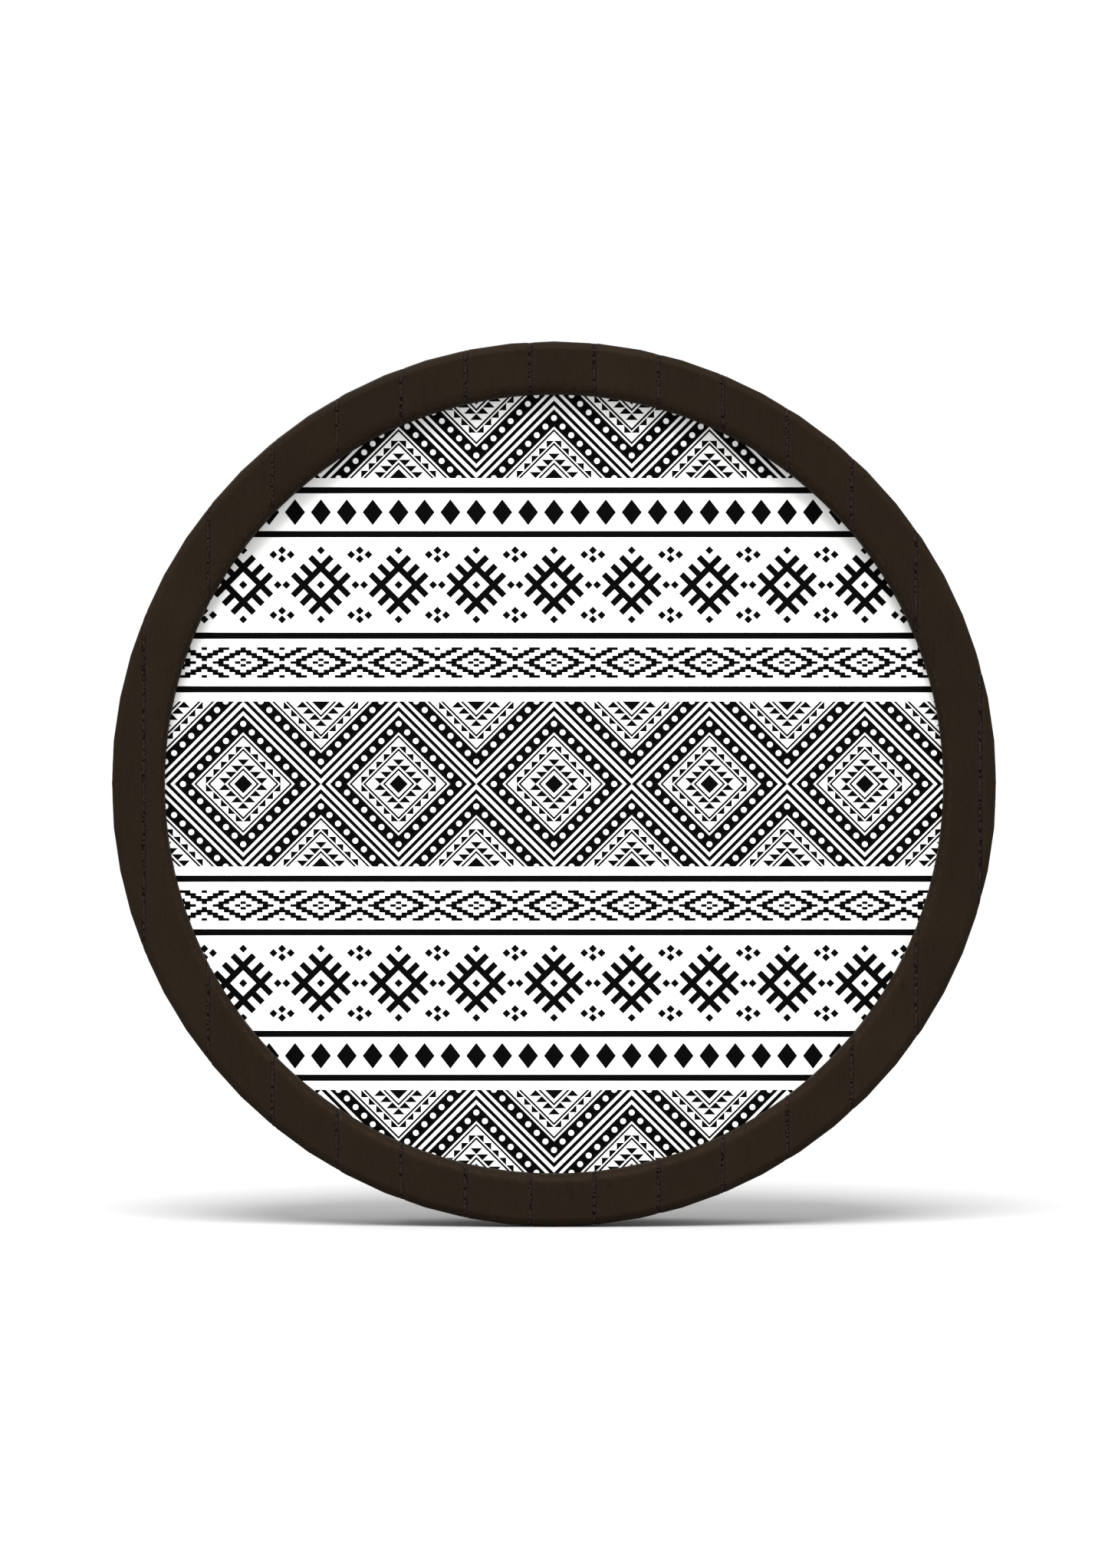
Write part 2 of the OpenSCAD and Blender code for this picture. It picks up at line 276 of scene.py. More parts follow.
def loft(bm, rows):
    """A closed solid through rows of vertices."""
    skin(bm, rows, round_rows=False)
    bm.faces.new(rows[0])
    bm.faces.new(list(reversed(rows[-1])))


def turned_rows(bm, outline, segments, spot):
    """Rows of vertices about an axis. spot(radius, height, angle) gives each point."""
    angles = [TURN * i / segments for i in range(segments)]
    return [[bm.verts.new(spot(r, h, angle)) for r, h in outline] for angle in angles]


def lathe(bm, outline, segments, spot):
    """Turns a closed outline of (radius, height) pairs."""
    skin(bm, turned_rows(bm, outline, segments, spot))


def solid_lathe(bm, outline, segments, spot):
    """Turns an open outline that starts and ends on the axis."""
    tips = [bm.verts.new(spot(*outline[k], 0.0)) for k in (0, -1)]
    rows = turned_rows(bm, outline[1:-1], segments, spot)
    skin(bm, rows, round_columns=False)
    for row, after in zip(rows, rows[1:] + rows[:1]):
        bm.faces.new([tips[0], row[0], after[0]])
        bm.faces.new([row[-1], tips[1], after[-1]])


def cylinder(bm, radius, low, high, segments, matrix):
    solid_lathe(bm, [(0, low), (radius, low), (radius, high), (0, high)], segments, partial(spun, matrix))


def turned_rings(matrices, outline, segments):
    """A ring of the same outline about the z axis of each matrix."""
    bm = bmesh.new()
    for matrix in matrices:
        lathe(bm, outline, segments, partial(spun, matrix))
    return bm


def drum_ring(outline):
    """A closed ring round the drum's axis, from an outline of (radius, y)."""
    bm = bmesh.new()
    lathe(bm, outline, DRUM_SEGMENTS, about_drum)
    return bm


def radial_frame(angle, r, y, side=0.0):
    """A matrix whose z points out from the drum's axis, x runs round the drum and y along it."""
    out = Vector((math.cos(angle), 0, math.sin(angle)))
    along = Vector((0, 1, 0))
    across = along.cross(out)
    matrix = Matrix((across, along, out)).transposed().to_4x4()
    matrix.translation = out * r + along * y + across * side
    return matrix


def axial_frame(x=0.0, z=0.0, y=0.0, turn=0.0):
    """A matrix whose z points to the drum's rear, at (x, z)."""
    matrix = Matrix.Rotation(-QUARTER, 4, "X") @ Matrix.Rotation(turn, 4, "Z")
    matrix.translation = Vector((x, y, z))
    return matrix


ROD_FRAMES = [axial_frame(p.x, p.z) for p in ROD_PLACES]
THUMB_FRAME = radial_frame(THUMB_ANGLE, 0, THUMB_Y)
# With this a prism's outline is (across, radius), and its length runs along the drum.
PLAN_VIEW = Matrix(((1, 0, 0, 0), (0, 0, 1, 0), (0, 1, 0, 0), (0, 0, 0, 1)))
# With this a prism's outline is (along the drum, radius), and its length runs across.
SIDE_VIEW = Matrix(((0, 0, 1, 0), (1, 0, 0, 0), (0, 1, 0, 0), (0, 0, 0, 1)))


def join_into(bm, part):
    """Adds a bmesh to another one and frees it."""
    mesh = bpy.data.meshes.new("part")
    part.to_mesh(mesh)
    part.free()
    bm.from_mesh(mesh)
    bpy.data.meshes.remove(mesh)


def prism(bm, outline, low, high, matrix, bevel=0.0, segments=2):
    """A prism of an outline in the matrix's xy plane, from low to high along its z, with bevelled edges."""
    part = bmesh.new()
    base = part.faces.new([part.verts.new((x, y, low)) for x, y in outline])
    for item in bmesh.ops.extrude_face_region(part, geom=[base])["geom"]:
        if isinstance(item, bmesh.types.BMVert):
            item.co.z = high
    bmesh.ops.recalc_face_normals(part, faces=part.faces)
    if bevel:
        sharp = [e for e in part.edges if e.calc_face_angle(0) > math.radians(30)]
        bmesh.ops.bevel(part, geom=sharp, offset=bevel, segments=segments, affect="EDGES", profile=0.5)
    bmesh.ops.transform(part, matrix=matrix, verts=part.verts)
    join_into(bm, part)


def prism_object(outline, low, high, matrix):
    bm = bmesh.new()
    prism(bm, outline, low, high, matrix)
    return mesh_object("tool", bm)


def boolean(obj, cutter, operation="DIFFERENCE"):
    """Applies a boolean with another object, and removes that object."""
    modifier = obj.modifiers.new("cut", "BOOLEAN")
    modifier.operation = operation
    modifier.solver = "EXACT"
    modifier.object = cutter
    applied = bpy.data.meshes.new_from_object(obj.evaluated_get(bpy.context.evaluated_depsgraph_get()))
    old = obj.data
    obj.modifiers.clear()
    obj.data = applied
    bpy.data.meshes.remove(old)
    bpy.data.objects.remove(cutter)


# ---- Material helpers ----

def linear(red, green, blue):
    """A colour given as 0 to 255 screen values, in the renderer's linear values."""
    def one(value):
        value /= 255
        return value / 12.92 if value <= 0.04045 else ((value + 0.055) / 1.055) ** 2.4
    return one(red), one(green), one(blue)


class Shader:
    """A small builder for one node material. Its tone is the base colour, laid on in layers."""

    def __init__(self, name, roughness=0.5, metallic=0.0, specular=0.5):
        self.material = bpy.data.materials.new(name)
        self.material.use_nodes = True
        self.tree = self.material.node_tree
        self.bsdf = self.tree.nodes["Principled BSDF"]
        self.bsdf.inputs["Roughness"].default_value = roughness
        self.bsdf.inputs["Metallic"].default_value = metallic
        self.bsdf.inputs["Specular IOR Level"].default_value = specular
        self.position = self.node("ShaderNodeTexCoord").outputs["Object"]

    def node(self, kind, **values):
        made = self.tree.nodes.new(kind)
        for key, value in values.items():
            setattr(made, key, value)
        return made

    def feed(self, socket, value):
        """Links an output to an input, or sets the input to a constant."""
        if isinstance(value, bpy.types.NodeSocket):
            self.tree.links.new(value, socket)
        else:
            socket.default_value = value

    def feed_all(self, made, **values):
        """Feeds a node's inputs by name, with _ for a space."""
        for key, value in values.items():
            self.feed(made.inputs[key.replace("_", " ")], value)
        return made

    def math(self, operation, a, b=0.0):
        made = self.node("ShaderNodeMath", operation=operation)
        self.feed(made.inputs[0], a)
        self.feed(made.inputs[1], b)
        return made.outputs[0]

    def product(self, a, b):
        return self.math("MULTIPLY", a, b)

    def inverse(self, value):
        return self.math("SUBTRACT", 1.0, value)

    def stretched(self, vector, scale):
        return self.feed_all(self.node("ShaderNodeMapping"), Vector=vector, Scale=scale).outputs["Vector"]

    def parts(self, vector):
        return self.feed_all(self.node("ShaderNodeSeparateXYZ"), Vector=vector).outputs

    def round_drum(self):
        """(length round the drum, y, radius) of the shaded point, for grain that follows the shell."""
        x, y, z = self.parts(self.position)
        radius = self.math("SQRT", self.math("ADD", self.product(x, x), self.product(z, z)))
        along = self.product(self.math("ARCTAN2", z, x), SHELL_R)
        return self.feed_all(self.node("ShaderNodeCombineXYZ"), X=along, Y=y, Z=radius).outputs[0]

    def noise(self, vector, scale, detail=4.0, roughness=0.55, distortion=0.0):
        """Noise of one scale, or stretched to three."""
        if isinstance(scale, tuple):
            vector, scale = self.stretched(vector, scale), 1.0
        made = self.feed_all(
            self.node("ShaderNodeTexNoise"),
            Vector=vector, Scale=scale, Detail=detail, Roughness=roughness, Distortion=distortion,
        )
        return made.outputs["Fac"]

    def cells(self, vector, scale, feature="F1"):
        """The distance to the middle of each cell, of one scale or stretched to three."""
        if isinstance(scale, tuple):
            vector, scale = self.stretched(vector, scale), 1.0
        made = self.node("ShaderNodeTexVoronoi", feature=feature)
        return self.feed_all(made, Vector=vector, Scale=scale).outputs["Distance"]

    def growth_rings(self, vector, scale, direction, size, distortion):
        """Wavy bands, as growth rings look on a sawn face."""
        made = self.node("ShaderNodeTexWave", bands_direction=direction)
        self.feed_all(
            made, Vector=self.stretched(vector, scale), Scale=size, Distortion=distortion, Detail=3.0
        )
        return made.outputs["Fac"]

    def attribute(self, name, output="Fac"):
        return self.node("ShaderNodeAttribute", attribute_name=name).outputs[output]

    def span(self, value, low, high, to_low=0.0, to_high=1.0):
        """Maps a value from one range to another, clamped."""
        made = self.feed_all(
            self.node("ShaderNodeMapRange"),
            Value=value, From_Min=low, From_Max=high, To_Min=to_low, To_Max=to_high,
        )
        return made.outputs["Result"]

    def line(self, field, width):
        """1 on the line where a field is half way, and 0 beyond the line's width."""
        return self.span(self.math("ABSOLUTE", self.math("SUBTRACT", field, 0.5)), 0.0, width, 1.0, 0.0)

    def mix(self, share, a, b):
        made = self.node("ShaderNodeMix", data_type="RGBA")
        self.feed(made.inputs["Factor"], share)
        for socket, value in ((made.inputs[6], a), (made.inputs[7], b)):
            self.feed(socket, (*value, 1.0) if isinstance(value, tuple) else value)
        return made.outputs[2]

    def tones(self, share, a, b):
        """The first layer: two screen colours."""
        self.tone = self.mix(share, linear(*a), linear(*b))

    def stain(self, share, colour):
        """Lays a screen colour over the tone."""
        self.tone = self.mix(share, self.tone, linear(*colour))

    def finish(self, rough, *bumps):
        """Links the tone, the roughness and bump layers of (height, distance in metres, strength)."""
        self.feed(self.bsdf.inputs["Base Color"], self.tone)
        if rough:
            self.feed(self.bsdf.inputs["Roughness"], rough)
        normal = None
        for height, distance, strength in bumps:
            made = self.node("ShaderNodeBump")
            self.feed_all(made, Height=height, Distance=distance, Strength=strength)
            if normal:
                self.feed(made.inputs["Normal"], normal)
            normal = made.outputs["Normal"]
        self.feed(self.bsdf.inputs["Normal"], normal)
        return self.material


# ---- Camera, floor and light ----

CAMERA_DISTANCE = 3.2
SENSOR_WIDTH = 36
DRUM_SHARE_OF_WIDTH = 0.80
IMAGE_ASPECT = 2044 / 1445
FLOOR_COLOUR = (0.44, 0.44, 0.44)
FLOOR_R = 60
AMBIENT = 1.02
KEY_POWER = 5.4
KEY_ANGLE = 38
KEY_DIRECTION = (0.06, 0.62, -1.0)
REAR_POWER = 26
REAR_SIZE = 1.4
REAR_PLACE = Vector((-1.1, 1.7, 1.9))


def make_camera():
    data = bpy.data.cameras.new("camera")
    data.sensor_width = SENSOR_WIDTH
    frame_height = 2 * RING_R / DRUM_SHARE_OF_WIDTH * IMAGE_ASPECT
    data.lens = SENSOR_WIDTH * CAMERA_DISTANCE / frame_height
    camera = bpy.data.objects.new("camera", data)
    camera.location = (0, RING_FRONT - CAMERA_DISTANCE, 0)
    camera.rotation_euler = (QUARTER, 0, 0)
    bpy.context.scene.collection.objects.link(camera)
    bpy.context.scene.camera = camera


def make_floor():
    """A wide, plain floor under the drum."""
    bm = bmesh.new()
    angles = [TURN * k / 64 for k in range(64)]
    bm.faces.new([bm.verts.new((FLOOR_R * math.cos(a), FLOOR_R * math.sin(a), -RING_R)) for a in angles])
    paper = Shader("studio_floor", roughness=0.95, specular=0.05)
    paper.feed(paper.bsdf.inputs["Base Color"], (*FLOOR_COLOUR, 1.0))
    mesh_object("studio_floor", bm, paper.material)


def add_light(name, kind, power, direction):
    data = bpy.data.lights.new(name, kind)
    data.energy = power
    light = bpy.data.objects.new(name, data)
    light.rotation_euler = Vector(direction).to_track_quat("-Z", "Y").to_euler()
    bpy.context.scene.collection.objects.link(light)
    return light


def make_light():
    """Even white light all round, a broad soft key from above the front, and a soft lamp behind."""
    world = bpy.data.worlds.new("studio")
    world.use_nodes = True
    background = world.node_tree.nodes["Background"]
    background.inputs["Color"].default_value = (1, 1, 1, 1)
    background.inputs["Strength"].default_value = AMBIENT
    bpy.context.scene.world = world
    bpy.context.scene.view_settings.view_transform = "Standard"
    key = add_light("key", "SUN", KEY_POWER, KEY_DIRECTION)
    key.data.angle = math.radians(KEY_ANGLE)
    rear = add_light("rear", "AREA", REAR_POWER, -REAR_PLACE)
    rear.data.shape = "DISK"
    rear.data.size = REAR_SIZE
    rear.location = REAR_PLACE


# ---- Materials ----

def board_wood():
    """Dark stained hardwood with upright grain, small pores and fine cracks."""
    s = Shader("board_wood", roughness=0.55, specular=0.012)
    fine = s.noise(s.position, (1500, 900, 55), 6, 0.65, 0.4)
    broad = s.noise(s.position, (160, 160, 9), 4, 0.6, 0.8)
    mottle = s.noise(s.position, 620, 5, 0.65)
    cloud = s.noise(s.position, 34, 3, 0.5)
    pores = s.span(s.cells(s.position, (1500, 1500, 260)), 0.05, 0.22)
    cracked = s.span(s.noise(s.position, (110, 110, 60), 2), 0.64, 0.70, 0.0, 0.8)
    crack = s.product(s.line(s.noise(s.position, (420, 420, 26), 2, 0.5, 1.4), 0.005), cracked)
    scratched = s.span(cloud, 0.56, 0.62)
    scratch = s.product(s.line(s.noise(s.position, (60, 60, 700), 2, 0.5, 2.0), 0.0022), scratched)
    s.tones(s.span(fine, 0.25, 0.78), (27, 21, 15), (36, 28, 21))
    s.stain(s.span(broad, 0.3, 0.7, 0.0, 0.4), (30, 23, 16))
    s.stain(s.span(mottle, 0.52, 0.8, 0.0, 0.6), (21, 15, 9))
    s.stain(s.span(cloud, 0.4, 0.7, 0.0, 0.4), (36, 28, 21))
    s.stain(s.product(s.attribute("board_tone"), 0.6), (23, 17, 11))
    s.stain(s.product(s.attribute("edge_wear"), s.span(mottle, 0.42, 0.6)), (56, 40, 29))
    s.stain(s.product(s.inverse(pores), 0.5), (12, 8, 5))
    s.stain(s.product(scratch, 0.35), (74, 58, 45))
    s.stain(crack, (8, 5, 3))
    return s.finish(
        s.span(s.math("ADD", mottle, fine), 0.6, 1.5, 0.42, 0.62),
        (fine, 0.18 * MM, 0.6), (mottle, 0.22 * MM, 0.5), (pores, 0.12 * MM, 0.5),
        (s.inverse(crack), 0.5 * MM, 0.9),
    )


def filler_material():
    """Glue and wood dust pressed into the seams: dark, pitted, with a few paler grains. The groove attribute
    lays painted shade on its deep borders and pits.
    """
    s = Shader("seam_filler", roughness=0.75, specular=0.05)
    lumps = s.noise(s.position, 900, 5, 0.7)
    pits = s.span(s.cells(s.position, 620), 0.1, 0.45)
    grains = s.span(s.noise(s.position, 1700, 2), 0.66, 0.7)
    s.tones(s.span(lumps, 0.3, 0.7), (28, 21, 18), (38, 29, 26))
    s.stain(s.product(s.inverse(pits), 0.5), (12, 8, 5))
    # Painted shade: the groove attribute darkens the filler's sunken borders and pits.
    s.stain(s.attribute("groove"), (6, 3, 2))
    s.stain(s.product(grains, 0.6), (84, 66, 56))
    return s.finish(None, (lumps, 0.6 * MM, 0.8), (pits, 0.5 * MM, 0.7))


def band_wood():
    """The stiffening ring's stained wood: its grain runs round the drum."""
    s = Shader("band_wood", roughness=0.42, specular=0.4)
    around = s.round_drum()
    fine = s.noise(around, (30, 1300, 1300), 6, 0.65, 0.3)
    broad = s.noise(around, (6, 130, 130), 4, 0.55, 1.2)
    pores = s.span(s.cells(around, (140, 1900, 1900)), 0.04, 0.2)
    s.tones(s.span(fine, 0.25, 0.75), (52, 33, 21), (90, 61, 41))
    s.stain(s.span(broad, 0.35, 0.68, 0.0, 0.75), (70, 41, 26))
    s.stain(s.product(s.attribute("board_tone"), 0.55), (52, 33, 21))
    s.stain(s.product(s.inverse(pores), 0.55), (20.8, 13.2, 8.4))
    rough = s.span(fine, 0.2, 0.8, 0.35, 0.54)
    return s.finish(rough, (fine, 0.14 * MM, 0.5), (broad, 0.4 * MM, 0.25), (pores, 0.1 * MM, 0.5))


def stave_wood():
    """Stained staves: their grain runs along the drum's axis."""
    s = Shader("stave_wood", roughness=0.42, specular=0.4)
    around = s.round_drum()
    fine = s.noise(around, (1100, 34, 700), 6, 0.62, 0.4)
    broad = s.noise(around, (95, 7, 60), 4, 0.55, 1.4)
    rings = s.growth_rings(around, (150, 9, 60), "X", 1.0, 7.0)
    pores = s.span(s.cells(around, (1700, 150, 1700)), 0.04, 0.2)
    s.tones(s.span(fine, 0.25, 0.75), (52, 33, 21), (92, 62, 41))
    s.stain(s.span(broad, 0.35, 0.68, 0.0, 0.7), (72, 41, 26))
    s.stain(s.product(rings, 0.35), (44, 27, 17))
    s.stain(s.product(s.attribute("board_tone"), 0.5), (40, 26, 17))
    s.stain(s.product(s.inverse(pores), 0.6), (22, 13, 8))
    return s.finish(s.span(fine, 0.2, 0.8, 0.36, 0.54), (fine, 0.14 * MM, 0.5), (pores, 0.1 * MM, 0.5))


def plywood():
    """Stained plywood: its veneers show as stripes on the ring's edge."""
    s = Shader("plywood", roughness=0.55, specular=0.35)
    veneer = 1.5 * MM
    around = s.round_drum()
    wobble = s.product(s.noise(around, 60, 2), 0.6 * MM)
    layer = s.math("DIVIDE", s.math("ADD", s.parts(around)[1], wobble), veneer)
    stripe = s.span(s.math("PINGPONG", layer, 1.0), 0.42, 0.58)
    fine = s.noise(around, (60, 900, 900), 5, 0.65)
    end_grain = s.noise(around, (1300, 500, 1300), 4, 0.7)
    pale = s.mix(s.span(fine, 0.3, 0.7), linear(78, 54, 35), linear(112, 82, 55))
    dark = s.mix(s.span(end_grain, 0.3, 0.7), linear(34, 22, 14), linear(64, 43, 28))
    s.tone = s.mix(stripe, pale, dark)
    rough = s.span(end_grain, 0.2, 0.8, 0.5, 0.68)
    return s.finish(rough, (stripe, 0.12 * MM, 0.5), (end_grain, 0.2 * MM, 0.4))


def bar_wood():
    """Oiled hardwood bars, whose grain runs along each bar by way of the bar_along attribute."""
    s = Shader("bar_wood", roughness=0.45, specular=0.4)
    along = s.attribute("bar_along", "Vector")
    fine = s.noise(along, (24, 1000, 1000), 6, 0.62, 0.5)
    rings = s.growth_rings(along, (5, 330, 120), "Y", 0.6, 4.0)
    pores = s.span(s.cells(along, (170, 1600, 1600)), 0.04, 0.2)
    s.tones(s.span(fine, 0.25, 0.75), (96, 66, 42), (142, 104, 70))
    s.stain(s.product(rings, 0.45), (84, 54, 33))
    s.stain(s.product(s.inverse(pores), 0.6), (42, 26, 15))
    return s.finish(s.span(fine, 0.2, 0.8, 0.38, 0.55), (fine, 0.14 * MM, 0.5), (pores, 0.1 * MM, 0.5))


def film_material():
    """Drumhead film with a thin sprayed coating."""
    s = Shader("drum_film", roughness=0.55, specular=0.3)
    spray = s.noise(s.position, 2600, 3, 0.6)
    cloud = s.noise(s.position, 9, 3, 0.5)
    s.tone = s.mix(s.span(cloud, 0.3, 0.7), (0.86, 0.86, 0.845), (0.89, 0.89, 0.88))
    return s.finish(s.span(spray, 0.3, 0.7, 0.48, 0.64), (spray, 0.05 * MM, 0.35), (cloud, 0.4 * MM, 0.05))


def ink_material():
    """Screen-printed ink, a little glossier than the coating under it."""
    s = Shader("ink", roughness=0.6, specular=0.02)
    spray = s.noise(s.position, 2600, 3, 0.6)
    wear = s.span(s.noise(s.position, 420, 4, 0.7), 0.62, 0.8)
    s.tone = s.mix(s.product(wear, 0.25), (0.0012, 0.0012, 0.0012), (0.004, 0.004, 0.004))
    return s.finish(s.span(spray, 0.3, 0.7, 0.55, 0.7), (spray, 0.04 * MM, 0.3))


def metal(name, colour, dull, roughness):
    """Metal with hazy patches and fine scratches."""
    s = Shader(name, roughness=roughness, metallic=1.0)
    haze = s.noise(s.position, 90, 4, 0.6)
    lines = s.noise(s.position, 700, 5, 0.7)
    s.tone = s.mix(s.span(haze, 0.45, 0.75), colour, dull)
    rough = s.span(s.math("ADD", haze, lines), 0.7, 1.3, roughness * 0.75, roughness * 1.5)
    return s.finish(rough, (lines, 0.04 * MM, 0.25), (haze, 0.1 * MM, 0.1))


def leather_material():
    """Brown leather strip, darker and shinier where the hand has worn it."""
    s = Shader("leather", roughness=0.55, specular=0.4)
    pebble = s.cells(s.position, 1050, "SMOOTH_F1")
    crease = s.noise(s.position, 430, 5, 0.7, 1.0)
    worn = s.noise(s.position, 70, 4, 0.6)
    s.tones(s.span(worn, 0.35, 0.7), (94, 52, 31), (62, 34, 21))
    s.stain(s.span(crease, 0.55, 0.75, 0.0, 0.6), (40, 22, 14))
    s.stain(s.product(s.attribute("edge_wear"), 0.75), (134, 86, 55))
    return s.finish(s.span(worn, 0.3, 0.7, 0.42, 0.66), (pebble, 0.5 * MM, 0.7), (crease, 0.5 * MM, 0.6))


def rubber_material():
    """Moulded black rubber."""
    s = Shader("rubber", roughness=0.6, specular=0.4)
    bloom = s.noise(s.position, 160, 4, 0.6)
    fine = s.noise(s.position, 3000, 3, 0.6)
    s.tones(s.span(bloom, 0.4, 0.75), (18, 18, 18), (34, 33, 32))
    return s.finish(s.span(bloom, 0.3, 0.7, 0.5, 0.72), (fine, 0.06 * MM, 0.4))


# ---- Front ring ----

FACET_COUNT = 64
RING_SEGMENTS = FACET_COUNT * 16
OUTER_FULLNESS = 0.65
CRISP_EDGE = 0.3 * MM
SEAM_WEAR = 1.3 * MM
EDGE_LOOPS = (0.35 * MM, 0.8 * MM, 1.4 * MM)
OUTER_WEAR_DEPTH = 0.4
RIM_WEAR = 1.6 * MM
BOARD_DEPTH, BOARD_TILT, BOARD_WAVES = 0.1 * MM, 0.07 * MM, 0.05 * MM
CHIP_NOISE, COARSE_NOISE, WAVE_NOISE = 420, 130, 55
FACE_OUT = RING_R - OUTER_ROUND
FACE_IN = RING_RI + INNER_ROUND


def rounding_point(wall_r, rounding, inward, a):
    """(radius, y) on an edge's rounding, from the wall at 0 to the face at a quarter turn.
    The inner edge is fully round, and the outer one is nearer to a flat chamfer."""
    arc_r = wall_r + inward * rounding * (1 - math.cos(a))
    arc_y = RING_FRONT + rounding * (1 - math.sin(a))
    if inward > 0:
        return arc_r, arc_y
    share = a / QUARTER
    flat_r = wall_r + inward * rounding * share
    flat_y = RING_FRONT + rounding * (1 - share)
    return flat_r + (arc_r - flat_r) * OUTER_FULLNESS, flat_y + (arc_y - flat_y) * OUTER_FULLNESS


def ring_section():
    """The ring's closed section, as (radius, y) points, from the back of its inner wall round to its back."""
    def line(a, b, count):
        return [(a[0] + (b[0] - a[0]) * k / count, a[1] + (b[1] - a[1]) * k / count) for k in range(count)]

    steps = 9
    face_end = (FACE_OUT - CRISP_EDGE, RING_FRONT)
    points = line((RING_RI, BOARD_BACK), (RING_RI, RING_FRONT + INNER_ROUND), 3)
    points += [rounding_point(RING_RI, INNER_ROUND, 1, QUARTER * k / steps) for k in range(steps)]
    points += line((FACE_IN, RING_FRONT), face_end, 13) + [face_end]
    points += [rounding_point(RING_R, OUTER_ROUND, -1, QUARTER * (1 - k / steps)) for k in range(steps)]
    points += line((RING_R, RING_FRONT + OUTER_ROUND), (RING_R, BOARD_BACK), 4)
    return points + line((RING_R, BOARD_BACK), (RING_RI, BOARD_BACK), 5)


def faceted(r, angle):
    """A radius on the ring, drawn in where a side of the many-sided outer edge lies inside its circle."""
    half = math.pi / FACET_COUNT
    offset = (angle - QUARTER) % (2 * half) - half
    drop = RING_R * (1 - math.cos(half) / math.cos(offset))
    return r - drop * max(0.0, (r - FACE_OUT) / OUTER_ROUND)


def ring_point(r, y, angle):
    return about_drum(faceted(r, angle), y, angle)


def cut(bm, x, direction, keep_all=False):
    """Cuts a bmesh at an upright plane. What lies on the direction's side goes, and the cut is filled."""
    result = bmesh.ops.bisect_plane(
        bm, geom=list(bm.verts) + list(bm.edges) + list(bm.faces), dist=1e-7,
        plane_co=(x, 0, 0), plane_no=(direction, 0, 0), clear_outer=not keep_all,
    )
    if keep_all:
        return
    rim = [e for e in result["geom_cut"] if isinstance(e, bmesh.types.BMEdge)]
    bmesh.ops.holes_fill(bm, edges=rim, sides=0)


def wear_board(bm, x0, x1, seed):
    """Rounds and chips a board's edges along its seams, and leaves the face a little uneven."""
    wear = bm.verts.layers.float.new("edge_wear")
    shift = Vector((seed * 3.7, seed * 1.3, 0))
    low = BOARD_DEPTH * (0.5 + 0.5 * draw(seed * 5.3, 0.7, 0.2))
    tilt = BOARD_TILT * draw(seed * 2.9, 4.1, 1.2)
    middle, half = (x0 + x1) / 2, (x1 - x0) / 2
    moves = []
    for v in bm.verts:
        if v.co.y >= BOARD_BACK - 0.5 * MM:
            continue
        r = math.hypot(v.co.x, v.co.z)
        inward = Vector((0, 1, 0))
        out = Vector((v.co.x, 0, v.co.z)) / r
        if r < FACE_IN and v.co.y > RING_FRONT + 0.3 * INNER_ROUND:
            inward = out
        elif r > FACE_OUT and v.co.y > RING_FRONT + 0.3 * OUTER_ROUND:
            inward = -OUTER_WEAR_DEPTH * out
        chip = noise.noise((v.co + shift) * CHIP_NOISE)
        coarse = noise.noise((v.co + shift) * COARSE_NOISE)
        near = max(0.0, 1 - min(v.co.x - x0, x1 - v.co.x) / SEAM_WEAR)
        amount = near * near * (0.42 + 0.34 * chip + 0.22 * coarse) * MM
        waves = BOARD_WAVES * (1 + noise.noise((v.co + shift) * WAVE_NOISE))
        side = tilt * (v.co.x - middle) / max(half, MM)
        moves.append((v, inward * (max(0.0, amount) + waves + low + abs(tilt) + side)))
        outer_rim = 1 - abs(r - (RING_R - 0.6 * OUTER_ROUND)) / RIM_WEAR
        inner_rim = 1 - abs(r - (RING_RI + 0.5 * INNER_ROUND)) / RIM_WEAR
        v[wear] = clamp(max(near, 0.35 * outer_rim, inner_rim) * (0.25 + 0.5 * chip))
    for v, move in moves:
        v.co += move


def set_tone(bm, value):
    """Marks every point with how dark its board is."""
    layer = bm.verts.layers.float.new("board_tone")
    for v in bm.verts:
        v[layer] = value


def make_boards(material):
    """Cuts the whole ring into columns of boards, and in two where the head parts a column."""
    full = bmesh.new()
    lathe(full, ring_section(), RING_SEGMENTS, ring_point)
    edges = [-RING_R - MM] + SEAMS + [RING_R + MM]
    for column, (left, right) in enumerate(zip(edges, edges[1:]), 1):
        x0, x1 = left + SEAM_HALF, right - SEAM_HALF
        strip = full.copy()
        cut(strip, x0, -1)
        cut(strip, x1, 1)
        for loop in EDGE_LOOPS:
            cut(strip, x0 + loop, 1, keep_all=True)
            cut(strip, x1 - loop, 1, keep_all=True)
        parted = left > -RING_RI and right < RING_RI
        for ending, side in (("_top", 1), ("_bottom", -1)) if parted else (("", 0),):
            bm = strip.copy()
            bmesh.ops.delete(bm, geom=[v for v in bm.verts if v.co.z * side < 0], context="VERTS")
            seed = column * 2 + (side > 0)
            wear_board(bm, x0, x1, seed)
            set_tone(bm, 0.5 + 0.5 * draw(seed * 7.7, 2.2, 5.1))
            fine_piece(f"board_{column:02d}{ending}", bm, material, "board_wood", 35, "hoop")
        strip.free()
    full.free()


